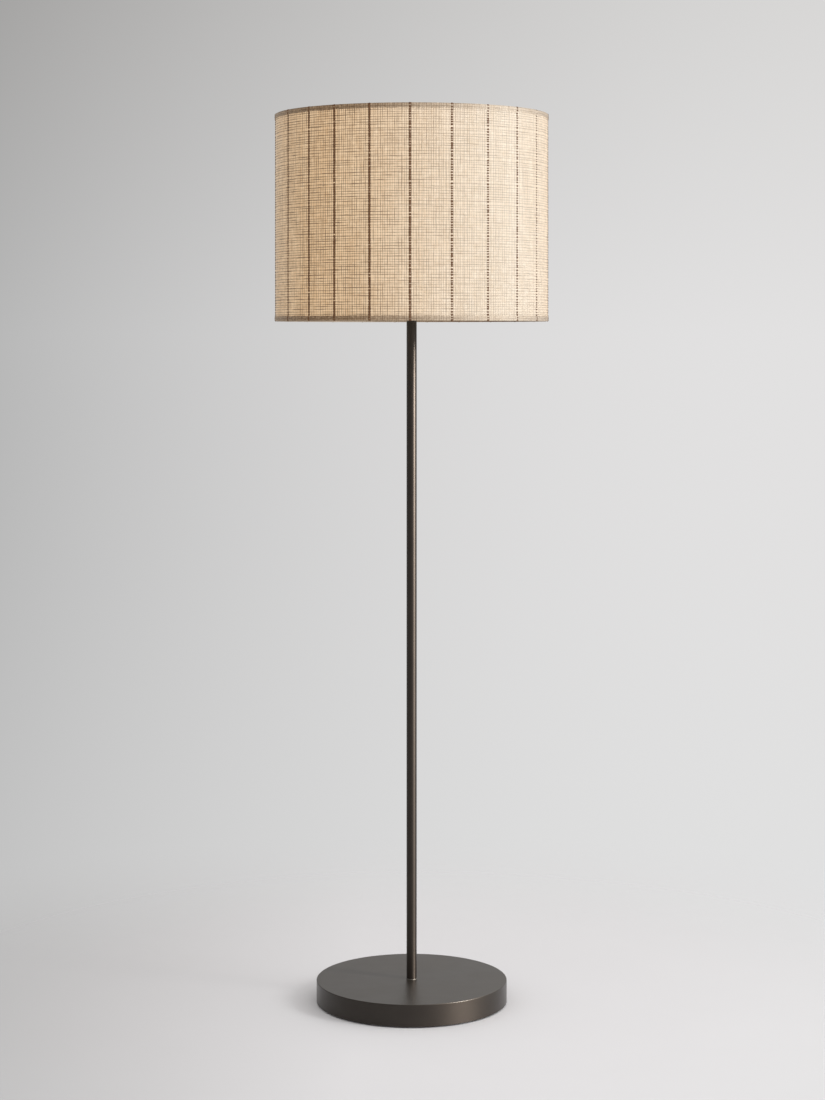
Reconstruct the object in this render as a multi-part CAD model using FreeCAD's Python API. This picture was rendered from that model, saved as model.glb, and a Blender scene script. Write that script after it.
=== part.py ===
import FreeCAD, Part
import math
import os

# Column floor lamp: a round weighted foot, one straight tube, and a large drum shade that hangs from a
# wire harp over a turn-knob lamp holder. Millimetres, +Z up, origin at the floor under the column's axis.
# The front of the lamp looks along -Y, and the cord leaves the foot at the back, along +Y.

Vec = FreeCAD.Vector
UP = Vec(0, 0, 1)
FRONT = Vec(0, -1, 0)
RIGHT = Vec(1, 0, 0)
AXIS = Vec(0, 0, 0)

# ---------------------------------------------------------------- driving sizes of the whole lamp
rim_height = 1650.0        # of the shade's upper rim over the floor
shade_diameter = 508.0
shade_height = 384.0
column_diameter = 19.05
foot_diameter = 354.0
foot_height = 42.0
harp_height = 305.0

# ---------------------------------------------------------------- named clearances
slip = 0.05           # radial gap of a pressed, glued or screwed pair
running = 0.08        # radial gap of a shaft that turns in its hole
passing = 0.25        # radial gap of a tube or stud that goes through a plain hole
thread_play = 0.15    # radial gap of a loose thread, at its outside diameter
lay_gap = 0.05        # gap between loose flat parts that lie on each other
drop_in = 0.4         # radial gap of a part that is dropped into a shell
rivet_clearance = 0.2  # below a rivet or a terminal screw in its blind hole

# ---------------------------------------------------------------- foot
cover_wall = 1.5
cover_edge_radius = 1.2
cover_lift = 2.6           # the cover's lower edge hangs clear of the floor
cover_hem_height = 3.5     # the spun wall is folded back on itself at its lower edge
pad_thickness = 3.0
pad_inset = 10.0           # from the cover's outside to the pad's outside
pad_width = 90.0
plate_thickness = 1.2
plate_screw_circle = 62.0
plate_screw_count = 4
weight_chamfer = 3.0
nut_recess_room = 5.0       # round the clamp washer, for the spanner
nut_recess_draft = 1.5
plate_access_room = 3.0     # from the nut's recess to the edge of the plate's hole
nut_recess_top = 20.0
outlet_height = 14.0       # of the cord outlet's axis over the floor
channel_width = 10.0
insert_wall = 2.0
insert_length = 14.0
screw_radius = 2.0
screw_head_radius = 3.9
screw_length = 13.0
screw_point = 1.0
screw_slot_width = 1.0
screw_slot_depth = 0.7
bushing_bore_radius = 3.6
bushing_wall = 2.4
bushing_flange_width = 2.2
bushing_flange_thickness = 2.0
bushing_snap_rise = 0.9
bushing_snap_length = 3.0
bushing_pocket_room = 1.0   # in the slab, round the snap collar
pad_softening = 0.8

# ---------------------------------------------------------------- threaded tube and column
pipe_radius = 4.85
pipe_bore_radius = 3.2
pipe_chamfer = 0.6
clamp_washer_radius = 19.0
clamp_washer_thickness = 2.5
tooth_washer_radius = 8.6
tooth_washer_thickness = 0.9
tooth_count = 8
tooth_gap_width = 1.5
tooth_gap_depth = 1.4
foot_nut_across_flats = 17.0
foot_nut_thickness = 5.0
pipe_tail = 2.4            # threaded tube that shows below the foot's nut
column_wall = 1.2
column_end_chamfer = 0.3
column_plug_length = 17.0
column_plug_chamfer = 0.8
column_plug_inset = 0.3    # of a plug's face inside the tube's end
pipe_engagement = 14.0     # threaded tube inside a column plug
seat_ring_thickness = 0.8
seat_ring_overhang = 0.55
neck_ring_height = 4.0
neck_ring_skirt = 3.0
neck_ring_wall = 1.1
neck_ring_crown = 3.1      # from the threaded tube to the ring's top edge

# ---------------------------------------------------------------- harp and saddle
shade_recess = 22.0        # from the shade's rim down to the seat of its spider
saddle_thickness = 1.6
saddle_rim = 1.4           # of strip on both sides of its hole
saddle_flat_half = 13.0
saddle_reach = 34.0        # from the axis to the middle of an upright ear
saddle_bend_radius = 5.0
ear_shoulder = 10.0
ear_length = 13.0
ear_width = 6.0
lock_nut_across_flats = 14.3
lock_nut_thickness = 3.0
harp_wire_radius = 1.8
harp_lug_thickness = 2.0
harp_lug_gap = 0.2
harp_foot_straight = 46.0  # height over the saddle where the legs start to lean out
harp_waist_height = 102.0
harp_waist_half = 65.0
harp_shoulder_height = 196.0
harp_shoulder_half = 60.0
harp_crown_half = 24.0
harp_bend_radii = (26.0, 60.0, 150.0, 16.0)   # foot, waist, shoulder and crown
harp_lug_rounding = 0.9
harp_pad_radius = 7.0
harp_pad_thickness = 2.4
ferrule_play = 0.35        # round the corners of the ear and the lug
ferrule_wall = 0.8
ferrule_length = 12.0
ferrule_bead = 0.5
ferrule_roll = 1.6         # height of a rolled bead
stud_radius = 3.1
stud_flange_radius = 7.0
stud_flange_thickness = 1.6
stud_shank_radius = 2.6
stud_rivet_radius = 4.4
stud_rivet_thickness = 1.2
stud_length = 12.0
stud_chamfer = 0.6
swivel_gap = 0.2           # axial play of the swivelling stud

# ---------------------------------------------------------------- lamp holder, heights over its cap's foot
cap_hub_wall = 1.7
cap_hub_height = 6.5
cap_floor = 10.9
cap_lip_radius = 17.2
cap_lip_start = 17.5
cap_height = 25.0
cap_wall = 0.7
pipe_below_cap_floor = 2.0
set_screw_radius = 1.5
set_screw_length = 3.0
set_screw_height = 3.4
shell_wall = 0.5
shell_foot = 19.0
shell_top = 70.0
shell_bead = 0.6
shell_bead_half = 1.0
shell_bead_heights = (57.0, 62.0)
shell_mouth_radius = 1.5   # of the rolled edge round the mouth
shell_mouth_lip = 0.5
shell_notch_room = 0.3     # on each side of the switch's boss
sleeve_wall = 0.5
sleeve_foot = 25.5
body_foot = 26.0
body_top = 44.0
screw_shell_play = 0.3     # radial, round the bulb's cap
screw_shell_wall = 0.4
screw_shell_corner = 1.0
screw_shell_eye = 5.2      # radius of the opening round the centre contact
screw_shell_top = 67.0
switch_height = 35.0
switch_boss_radius = 4.8
switch_boss_proud = 0.5    # of the boss outside the cap's lip
switch_cavity_room = 0.8
switch_cavity_end = 0.5
rotor_radius = 6.0
rotor_half = 4.0
rotor_lobes = 4
rotor_notch_radius = 1.9
shaft_radius = 2.0
knob_gap = 0.9
knob_length = 14.0
knob_radius = 6.2
knob_tip_radius = 5.4
knob_tip_rounding = 1.2
knob_skirt = 2.2
knob_chamfer = 0.5
knob_roof = 2.0            # over the shaft's end
knob_flutes = 16
knob_flute_radius = 0.75
terminal_flat = 12.2       # distance from the axis to the flat that a terminal screw's head lies on
terminal_head_radius = 3.1
terminal_head_thickness = 1.7
terminal_shank_radius = 1.6
terminal_shank_length = 3.6
terminal_height = 35.0
terminal_flat_width = 9.0
contact_width = 5.0
contact_thickness = 0.5
contact_rise = 2.6
contact_half_length = 4.2
rivet_radius = 1.1
rivet_head_radius = 1.9
rivet_head_thickness = 0.6
rivet_offset = 9.0
rivet_depth = 4.0
small_slot_width = 0.9     # of the terminal screws and the set screw
small_slot_depth = 0.8
leaf_thickness = 0.4
leaf_gap = 0.3             # between the leaf and the rotor's lobes
leaf_width = 5.0
leaf_length = 10.0

# ---------------------------------------------------------------- lamp bulb, heights over its tip contact
bulb_tip_gap = 0.25        # at rest, between the bulb's tip and the spring contact
bulb_tip_radius = 4.2
bulb_tip_height = 1.5
bulb_glass_top_radius = 11.0
bulb_glass_height = 5.0
bulb_cap_radius = 13.05
bulb_cap_top = 26.0
bulb_cap_wall = 0.35
bulb_cap_slope = 2.2       # height of the cap's slanting foot
bulb_collar_step = 0.55    # from the screw cap out to the collar
bulb_collar_top = 62.0
bulb_collar_radius = 26.5
bulb_collar_wall = 1.6
bulb_globe_radius = 30.0
bulb_length = 108.0
bulb_globe_wall = 1.2
bulb_board_thickness = 1.6
bulb_board_drop = 2.0
bulb_ledge_thickness = 1.5

# ---------------------------------------------------------------- shade
fabric_thickness = 0.9
backing_thickness = 0.55
ring_wire_radius = 1.55
trim_thickness = 0.7
trim_cover = 9.0           # height of the turned hem outside
trim_return = 8.0          # height of the turned hem inside
hem_flats = 5              # short flats in each quarter bend of a hem round its wire
edge_play = 0.25           # from the edges of cloth and backing to the fold of the hem
seam_width = 12.0
seam_thickness = 0.6
hub_radius = 12.5
hub_thickness = 1.6
arm_wire_radius = 1.5
arm_count = 3
arm_first_angle = 90.0     # one arm points to the back, over the seam
arm_end_gap = 1.4          # from the finial's foot to the arms' inner ends
arm_bend_radius = 5.5

# ---------------------------------------------------------------- finial
finial_washer_radius = 6.4
finial_washer_thickness = 1.0
finial_length = 24.0
finial_foot_radius = 7.0
finial_neck_radius = 4.6
finial_ball_radius = 8.2
finial_chamfer = 0.6
finial_foot_height = 3.0
finial_step = 1.4          # from the foot in to the neck
finial_step_height = 0.8
finial_bore_reserve = 1.7  # over the stud's tip

# ---------------------------------------------------------------- places worked out from the sizes above
pipe_hole_radius = pipe_radius + passing
foot_radius = foot_diameter / 2
column_radius = column_diameter / 2
column_bore = column_radius - column_wall
shade_radius = shade_diameter / 2
shade_foot = rim_height - shade_height
shade_seat = rim_height - shade_recess
saddle_foot = shade_seat - harp_height
saddle_top = saddle_foot + saddle_thickness
column_foot = foot_height + seat_ring_thickness
column_top = saddle_foot - neck_ring_height
holder_foot = saddle_top + lock_nut_thickness
cover_inside = foot_radius - cover_wall
nut_recess_radius = clamp_washer_radius + nut_recess_room
plate_access_radius = nut_recess_radius + plate_access_room
insert_radius = screw_radius + insert_wall
bushing_barrel_radius = bushing_bore_radius + bushing_wall
bushing_snap_radius = bushing_barrel_radius + bushing_snap_rise
plate_radius = cover_inside - cover_wall - drop_in
plate_top = pad_thickness + plate_thickness
weight_top = foot_height - cover_wall
switch_axis = Vec(0, 0, holder_foot + switch_height)
switch_boss_reach = cap_lip_radius + switch_boss_proud
switch_cavity_radius = rotor_radius + switch_cavity_room
screw_shell_radius = bulb_cap_radius + screw_shell_play
sleeve_radius = cap_lip_radius - cap_wall - shell_wall - 2 * slip
contact_top = holder_foot + body_top + contact_thickness + contact_rise
bulb_foot = contact_top + bulb_tip_gap
saddle_width = 2 * (pipe_hole_radius + saddle_rim)
lug_inner = saddle_reach + saddle_thickness / 2 + harp_lug_gap
leg_reach = lug_inner + harp_lug_thickness / 2
ferrule_reach = (saddle_reach - saddle_thickness / 2 + lug_inner + harp_lug_thickness) / 2
ferrule_foot = saddle_foot + ear_shoulder
ear_and_lug = saddle_thickness + harp_lug_gap + harp_lug_thickness
ferrule_bore_radius = math.hypot(ear_and_lug, ear_width) / 2 + ferrule_play
pad_top = shade_seat - stud_flange_thickness - swivel_gap
crown_height = pad_top - harp_pad_thickness / 2
hub_top = shade_seat + hub_thickness
hub_hole_radius = stud_radius + passing
arm_start_radius = finial_foot_radius + arm_end_gap
arm_height = hub_top + arm_wire_radius
washer_foot = hub_top + lay_gap
finial_foot = washer_foot + finial_washer_thickness + lay_gap
finial_bore_top = shade_seat + stud_length + finial_bore_reserve
trim_outside = shade_radius + slip + trim_thickness
backing_radius = shade_radius - fabric_thickness - slip
trim_inside = backing_radius - backing_thickness - 2 * ring_wire_radius - 3 * slip - trim_thickness
trim_bend = trim_thickness + slip + ring_wire_radius
ring_reach = trim_inside + trim_bend


# ---------------------------------------------------------------- shaping helpers
def outline(start, *steps):
    """A flat face in the XZ plane. A step is a point, or (middle, end) for an arc."""
    edges = []
    here = start
    for step in list(steps) + [start]:
        if isinstance(step[0], tuple):
            middle, end = step
            edges.append(Part.Arc(at(here), at(middle), at(end)).toShape())
        else:
            end = step
            if math.dist(here, end) < 1e-7:
                continue
            edges.append(Part.LineSegment(at(here), at(end)).toShape())
        here = end
    return Part.Face(Part.Wire(edges))


def at(point):
    """The place in space of a point (x, z) of an outline."""
    return Vec(point[0], 0, point[1])


def rounded(start, corner, end):
    """An arc step from start to end that rounds the corner between them, equally far from both."""
    centre = (start[0] + end[0] - corner[0], start[1] + end[1] - corner[1])
    radius = math.dist(start, centre)
    reach = math.dist(corner, centre)
    middle = tuple(c + (k - c) * radius / reach for c, k in zip(centre, corner))
    return middle, end


def in_flats(start, corner, end):
    """Points that round the corner between start and end in short flats, down to the end itself."""
    centre = (start[0] + end[0] - corner[0], start[1] + end[1] - corner[1])
    points = []
    for k in range(1, hem_flats + 1):
        turn = math.pi / 2 * k / hem_flats
        way = (math.cos(turn), math.sin(turn))
        points.append(tuple(c + (s - c) * way[0] + (e - c) * way[1] for c, s, e in zip(centre, start, end)))
    return points


def dome(radius, foot, rise):
    """An arc step from (radius, foot) to the axis that makes a cap of a ball of the given rise."""
    height = abs(rise)
    ball = (radius ** 2 + height ** 2) / (2 * height)
    half_angle = math.atan2(radius, ball - height) / 2
    way = math.copysign(1, rise)
    middle_height = foot + rise - way * ball * (1 - math.cos(half_angle))
    return (ball * math.sin(half_angle), middle_height), (0, foot + rise)


def dome_back(radius, foot):
    """An arc step from the axis back down to (radius, foot), a quarter of a ball's outline."""
    middle = dome(radius, foot, radius)[0]
    return middle, (radius, foot)


def turned(start, *steps):
    """A solid turned about the Z axis from an outline of (radius, height) points."""
    return outline(start, *steps).revolve(AXIS, UP, 360)


def disc(radius, low, high):
    """An upright cylinder on the lamp's axis."""
    return Part.makeCylinder(radius, high - low, Vec(0, 0, low), UP)


def collar(outer, inner, low, high):
    """An upright tube on the lamp's axis."""
    return turned((inner, low), (outer, low), (outer, high), (inner, high))


def pin(radius, start, direction, length):
    """A cylinder from a point along a direction."""
    return Part.makeCylinder(radius, length, start, direction)


def spun(shape, degrees):
    """A copy of a shape turned about the lamp's axis."""
    copy = shape.copy()
    copy.rotate(AXIS, UP, degrees)
    return copy


def mirrored(shape):
    """A copy of a shape on the other side of the YZ plane."""
    return shape.mirror(AXIS, RIGHT)


def hex_nut(across_flats, bore, low, high):
    """A hexagon nut with both faces chamfered round its corners."""
    corner = across_flats / math.sqrt(3)
    points = []
    for k in range(7):
        turn = math.radians(60 * k)
        points.append(Vec(corner * math.cos(turn), corner * math.sin(turn), low))
    prism = Part.Face(Part.makePolygon(points)).extrude(Vec(0, 0, high - low))
    drop = (corner - across_flats / 2) * math.tan(math.radians(30))
    face = across_flats / 2 * 0.98
    outer = [(face, low), (corner, low + drop), (corner, high - drop), (face, high)]
    envelope = turned((0, low), *outer, (0, high))
    return prism.common(envelope).cut(disc(bore, low - 1, high + 1))


def bent_path(points, radii):
    """Straight runs through the points, joined by tangent arcs of the given radii."""
    edges = []
    here = points[0]
    for before, corner, after, radius in zip(points, points[1:], points[2:], radii):
        back = (before - corner).normalize()
        ahead = (after - corner).normalize()
        half_turn = (math.pi - back.getAngle(ahead)) / 2
        reach = radius * math.tan(half_turn)
        start = corner + back * reach
        end = corner + ahead * reach
        inward = (back + ahead).normalize()
        middle = corner + inward * (radius / math.cos(half_turn) - radius)
        edges.append(Part.LineSegment(here, start).toShape())
        edges.append(Part.Arc(start, middle, end).toShape())
        here = end
    edges.append(Part.LineSegment(here, points[-1]).toShape())
    return Part.Wire(edges)


def wire_along(path, first, second, radius):
    """A round wire swept along a path that starts at the first point towards the second."""
    section = Part.Wire(Part.makeCircle(radius, first, second - first))
    return path.makePipeShell([section], True, False)


# ---------------------------------------------------------------- foot
def foot_cover():
    """Spun steel shell with a crisp top edge and a folded lower hem, a centre hole and the cord hole."""
    edge = cover_edge_radius
    lip = cover_inside - cover_wall
    side_top = (foot_radius, foot_height - edge)
    shell = turned(
        (lip, cover_lift),
        (foot_radius, cover_lift),
        side_top,
        rounded(side_top, (foot_radius, foot_height), (foot_radius - edge, foot_height)),
        (pipe_hole_radius, foot_height),
        (pipe_hole_radius, weight_top),
        (cover_inside, weight_top),
        (cover_inside, cover_lift + cover_hem_height),
        (lip, cover_lift + cover_hem_height),
    )
    start = Vec(0, foot_radius - 3 * cover_wall, outlet_height)
    cord_hole = pin(bushing_barrel_radius + slip, start, -FRONT, 4 * cover_wall)
    return shell.cut(cord_hole)


def foot_weight():
    """Cast slab that fills the cover, with a drafted nut recess, a cord channel and four insert holes."""
    radius = plate_radius
    cut = weight_chamfer
    slab = turned(
        (nut_recess_radius, plate_top),
        (radius - cut, plate_top),
        (radius, plate_top + cut),
        (radius, weight_top - cut),
        (radius - cut, weight_top),
        (pipe_hole_radius + drop_in, weight_top),
        (pipe_hole_radius + drop_in, nut_recess_top),
        (nut_recess_radius - nut_recess_draft, nut_recess_top),
    )
    half = channel_width / 2
    crown = outlet_height + half
    profile = outline(
        (-half, plate_top - 1),
        (half, plate_top - 1),
        (half, crown - half),
        ((0, crown), (-half, crown - half)),
    )
    channel = profile.extrude(Vec(0, radius + 1, 0))
    # the channel widens at the rim, round the snap collar of the bushing
    pocket_start = Vec(0, radius - bushing_snap_length, outlet_height)
    pocket = pin(bushing_snap_radius + bushing_pocket_room, pocket_start, -FRONT, 2 * bushing_snap_length)
    slab = slab.cut(channel).cut(pocket)
    hole = disc(insert_radius + slip, plate_top, plate_top + insert_length)
    for place in screw_places():
        slab = slab.cut(hole.translated(place))
    return slab


def screw_places():
    """Where the plate's screws stand, as offsets from the lamp's axis."""
    places = []
    for k in range(plate_screw_count):
        turn = math.radians(360 * (k + 0.5) / plate_screw_count)
        places.append(Vec(plate_screw_circle * math.cos(turn), plate_screw_circle * math.sin(turn), 0))
    return places


def weight_inserts():
    """Moulded-in threaded inserts for the plate's screws."""
    insert = collar(insert_radius, screw_radius + slip, plate_top + lay_gap, plate_top + insert_length)
    return Part.makeCompound([insert.translated(place) for place in screw_places()])


def countersunk_screw():
    """Slotted countersunk screw on the lamp's axis, head down and flush with the plate."""
    low = pad_thickness
    tip = low + screw_length
    body = turned(
        (0, low),
        (screw_head_radius, low),
        (screw_radius, low + plate_thickness),
        (screw_radius, tip - screw_point),
        (screw_radius / 2, tip),
        (0, tip),
    )
    slot = Part.makeBox(4 * screw_head_radius, screw_slot_width, screw_slot_depth)
    return body.cut(slot.translated(Vec(-2 * screw_head_radius, -screw_slot_width / 2, low)))


def foot_plate():
    """Closing plate with its access hole and countersunk screw holes."""
    plate = collar(plate_radius, plate_access_radius, pad_thickness, plate_top)
    sink = turned(
        (0, pad_thickness),
        (screw_head_radius + slip, pad_thickness),
        (screw_radius + slip, plate_top),
        (0, plate_top),
    )
    for place in screw_places():
        plate = plate.cut(sink.translated(place))
    return plate


def plate_screws():
    """The four screws of the closing plate."""
    return Part.makeCompound([countersunk_screw().translated(place) for place in screw_places()])


def floor_pad():
    """Foam ring under the plate with softened lower edges."""
    outer = foot_radius - pad_inset
    inner = outer - pad_width
    soft = pad_softening
    return turned(
        (inner + soft, 0),
        (outer - soft, 0),
        rounded((outer - soft, 0), (outer, 0), (outer, soft)),
        (outer, pad_thickness),
        (inner, pad_thickness),
        (inner, soft),
        rounded((inner, soft), (inner, 0), (inner + soft, 0)),
    )


def cord_bushing():
    """Snap-in bushing: a rounded flange outside the cover's wall, a barrel, and a snap collar inside."""
    bore = bushing_bore_radius
    barrel = bushing_barrel_radius
    snap = bushing_snap_radius
    flange = barrel + bushing_flange_width
    thick = bushing_flange_thickness
    soft = thick / 2
    # heights over the wall's outer face; the inner face curves away by this much at the snap collar
    sag = cover_inside - math.sqrt(cover_inside ** 2 - snap ** 2)
    catch = -cover_wall - sag - lay_gap
    tail = catch - bushing_snap_length
    body = turned(
        (bore, tail),
        (barrel, tail),
        (snap, catch - 0.4 * bushing_snap_length),
        (snap, catch),
        (barrel, catch),
        (barrel, lay_gap),
        (flange, lay_gap),
        (flange, thick - soft),
        rounded((flange, thick - soft), (flange, thick), (flange - soft, thick)),
        (bore + soft, thick),
        rounded((bore + soft, thick), (bore, thick), (bore, thick - soft)),
    )
    body.rotate(AXIS, RIGHT, -90)
    return body.translated(Vec(0, foot_radius, outlet_height))


# ---------------------------------------------------------------- column and its fastening
def clamp_washer():
    """Large plain washer that presses the slab against the cover."""
    low = nut_recess_top - clamp_washer_thickness
    return collar(clamp_washer_radius, pipe_hole_radius, low, nut_recess_top)


def tooth_washer():
    """Lock washer with teeth round its hole."""
    high = nut_recess_top - clamp_washer_thickness
    low = high - tooth_washer_thickness
    washer = collar(tooth_washer_radius, pipe_hole_radius, low, high)
    gap = Part.makeBox(2 * tooth_gap_depth, tooth_gap_width, 3 * tooth_washer_thickness)
    inner = pipe_hole_radius - tooth_gap_depth
    gap.translate(Vec(inner, -tooth_gap_width / 2, low - tooth_washer_thickness))
    for k in range(tooth_count):
        washer = washer.cut(spun(gap, 360 * k / tooth_count))
    return washer


def foot_nut():
    """Hexagon nut under the lock washer."""
    high = nut_recess_top - clamp_washer_thickness - tooth_washer_thickness
    return hex_nut(foot_nut_across_flats, pipe_radius + slip, high - foot_nut_thickness, high)


def threaded_tube(low, high):
    """Hollow threaded tube with chamfered ends."""
    cut = pipe_chamfer
    return turned(
        (pipe_bore_radius, low),
        (pipe_radius - cut, low),
        (pipe_radius, low + cut),
        (pipe_radius, high - cut),
        (pipe_radius - cut, high),
        (pipe_bore_radius, high),
    )


def foot_pipe():
    """Threaded tube from the foot's nut up into the column."""
    nut_low = nut_recess_top - clamp_washer_thickness - tooth_washer_thickness - foot_nut_thickness
    return threaded_tube(nut_low - pipe_tail, column_foot + pipe_engagement)


def seat_ring():
    """Thin ring between the column's foot and the cover."""
    outer = column_radius + seat_ring_overhang
    soft = seat_ring_thickness / 2
    top = foot_height + seat_ring_thickness
    return turned(
        (pipe_hole_radius, foot_height),
        (outer, foot_height),
        (outer, top - soft),
        rounded((outer, top - soft), (outer, top), (outer - soft, top)),
        (pipe_hole_radius, top),
    )


def column_plug(low):
    """Threaded plug pressed into an end of the column, chamfered at both ends."""
    radius = column_bore - slip
    bore = pipe_radius + slip
    high = low + column_plug_length
    cut = column_plug_chamfer
    return turned(
        (bore + cut, low),
        (radius - cut, low),
        (radius, low + cut),
        (radius, high - cut),
        (radius - cut, high),
        (bore + cut, high),
        (bore, high - cut),
        (bore, low + cut),
    )


def column():
    """The one-piece tube."""
    cut = column_end_chamfer
    return turned(
        (column_bore, column_foot),
        (column_radius - cut, column_foot),
        (column_radius, column_foot + cut),
        (column_radius, column_top - cut),
        (column_radius - cut, column_top),
        (column_bore, column_top),
    )


def neck_ring():
    """Turned ring that caps the column under the saddle, with a skirt over the tube's end."""
    skirt_foot = column_top - neck_ring_skirt
    skirt = column_radius + slip
    outer = skirt + neck_ring_wall
    crown = pipe_radius + neck_ring_crown
    return turned(
        (skirt, skirt_foot),
        (outer, skirt_foot),
        (outer, column_top),
        ((0.7 * outer + 0.3 * crown, column_top + 0.6 * neck_ring_height), (crown, saddle_foot)),
        (pipe_hole_radius, saddle_foot),
        (pipe_hole_radius, column_top),
        (skirt, column_top),
    )


def neck_pipe():
    """Threaded tube from the column's top up into the lamp holder's cap."""
    return threaded_tube(column_top - pipe_engagement, holder_foot + cap_floor - pipe_below_cap_floor)


# ---------------------------------------------------------------- saddle, harp, ferrules and stud
def saddle():
    """Bent strip: a flat with the hole, two rising arms, and an upright ear with shoulders at each end."""
    half = saddle_thickness / 2
    low = saddle_foot
    ear_top = low + ear_shoulder + ear_length
    outer = saddle_reach + half
    inner = saddle_reach - half
    bend = saddle_bend_radius
    side = outline(
        (0, low),
        (outer - bend, low),
        rounded((outer - bend, low), (outer, low), (outer, low + bend)),
        (outer, ear_top),
        (inner, ear_top),
        (inner, low + bend),
        rounded((inner, low + bend), (inner, saddle_top), (outer - bend, saddle_top)),
        (0, saddle_top),
    )
    strip = side.extrude(Vec(0, saddle_width, 0))
    strip.translate(Vec(0, -saddle_width / 2, 0))
    ear_trim = Part.makeBox(4 * half, saddle_width, ear_length + 1)
    for side_sign in (-1, 1):
        cutter = ear_trim.copy()
        shift = ear_width / 2 if side_sign > 0 else -ear_width / 2 - saddle_width
        cutter.translate(Vec(inner - half, shift, low + ear_shoulder))
        strip = strip.cut(cutter)
    # the arms narrow towards the ears
    narrow = ear_width / 2 + 2
    taper = Part.makePolygon([
        Vec(0, -saddle_width / 2, low - 1), Vec(saddle_flat_half, -saddle_width / 2, low - 1),
        Vec(outer + 1, -narrow, low - 1), Vec(outer + 1, narrow, low - 1),
        Vec(saddle_flat_half, saddle_width / 2, low - 1), Vec(0, saddle_width / 2, low - 1),
        Vec(0, -saddle_width / 2, low - 1),
    ])
    arm = strip.common(Part.Face(taper).extrude(Vec(0, 0, ear_top - low + 2)))
    both = arm.fuse(mirrored(arm)).removeSplitter()
    return both.cut(disc(pipe_hole_radius, low - 1, saddle_top + 1))


def saddle_lock_nut():
    """Thin nut that holds the saddle down on the neck ring."""
    return hex_nut(lock_nut_across_flats, pipe_radius + slip, saddle_top, holder_foot)


def harp_route():
    """The middle line of the harp's wire, from one lug over the crown to the other."""
    low = saddle_foot
    leg = [
        (leg_reach, low + ear_shoulder + 4),
        (leg_reach, low + harp_foot_straight),
        (harp_waist_half, low + harp_waist_height),
        (harp_shoulder_half, low + harp_shoulder_height),
        (harp_crown_half, crown_height),
    ]
    right = [Vec(x, 0, z) for x, z in leg]
    left = [Vec(-x, 0, z) for x, z in reversed(leg)]
    return right + left, harp_bend_radii + harp_bend_radii[::-1]


def harp():
    """One bent wire with a flat lug on each foot and a flattened, drilled pad at the crown."""
    points, radii = harp_route()
    loop = wire_along(bent_path(points, radii), points[0], points[1], harp_wire_radius)
    lug_low = saddle_foot + ear_shoulder + 1
    lug_high = saddle_foot + ear_shoulder + ear_length + 1
    lug = Part.makeBox(harp_lug_thickness, ear_width, lug_high - lug_low)
    lug.translate(Vec(lug_inner, -ear_width / 2, lug_low))
    across = [e for e in lug.Edges if abs(e.tangentAt(e.FirstParameter).x) > 0.9]
    lug = lug.makeFillet(harp_lug_rounding, across)
    # below the ear's top the round wire gives way to the flat lug
    below = Part.makeBox(4 * leg_reach, 20, ear_length + ear_shoulder + 1)
    below.translate(Vec(-2 * leg_reach, -10, saddle_foot))
    loop = loop.cut(below)
    pad = disc(harp_pad_radius, pad_top - harp_pad_thickness, pad_top)
    above = Part.makeBox(4 * harp_pad_radius, 20, 5, Vec(-2 * harp_pad_radius, -10, pad_top))
    under = Part.makeBox(2 * harp_pad_radius, 20, 5)
    under.translate(Vec(-harp_pad_radius, -10, pad_top - harp_pad_thickness - 5))
    loop = loop.cut(above.common(disc(harp_pad_radius, pad_top, pad_top + 5))).cut(under)
    whole = loop.fuse([lug, mirrored(lug), pad])
    return whole.cut(disc(stud_shank_radius + running, pad_top - 6, pad_top + 1)).removeSplitter()


def ferrule(side):
    """Sliding sleeve that locks a lug to its ear, with a rolled bead at each end."""
    bore = ferrule_bore_radius
    outer = bore + ferrule_wall
    bead = outer + ferrule_bead
    low = ferrule_foot
    high = low + ferrule_length
    roll = ferrule_roll
    sleeve = turned(
        (bore, low),
        (outer, low),
        ((bead, low + roll / 2), (outer, low + roll)),
        (outer, high - roll),
        ((bead, high - roll / 2), (outer, high)),
        (bore, high),
    )
    return sleeve.translated(Vec(side * ferrule_reach, 0, 0))


def swivel_stud():
    """Flanged stud riveted loosely through the crown's pad, so that the shade can be turned."""
    rivet_top = pad_top - harp_pad_thickness - swivel_gap
    tip = shade_seat + stud_length
    cut = stud_chamfer
    return turned(
        (0, rivet_top - stud_rivet_thickness),
        (stud_rivet_radius - cut, rivet_top - stud_rivet_thickness),
        (stud_rivet_radius, rivet_top - stud_rivet_thickness / 2),
        (stud_rivet_radius, rivet_top),
        (stud_shank_radius, rivet_top),
        (stud_shank_radius, shade_seat - stud_flange_thickness),
        (stud_flange_radius, shade_seat - stud_flange_thickness),
        (stud_flange_radius, shade_seat),
        (stud_radius, shade_seat),
        (stud_radius, tip - cut),
        (stud_radius - cut, tip),
        (0, tip),
    )


# ---------------------------------------------------------------- lamp holder
def holder_cap():
    """Drawn cap with a threaded hub, an ogee flare and a straight lip."""
    low = holder_foot
    bore = pipe_radius + slip
    hub = bore + cap_hub_wall
    lip = cap_lip_radius
    inner = lip - cap_wall
    body = turned(
        (bore, low),
        (hub, low),
        (hub, low + cap_hub_height),
        ((hub + 1.0, low + cap_hub_height + 2.6), (hub + 3.9, low + 10.2)),
        ((lip - 1.8, low + 12.4), (lip, low + cap_lip_start)),
        (lip, low + cap_height),
        (inner, low + cap_height),
        (inner, low + cap_lip_start),
        ((inner - 1.75, low + 13.0), (hub + 3.7, low + cap_floor)),
        (bore, low + cap_floor),
    )
    hole_start = Vec(-pipe_radius, 0, low + set_screw_height)
    hole = pin(set_screw_radius + slip, hole_start, -RIGHT, 2 * set_screw_length)
    return body.cut(hole)


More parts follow.
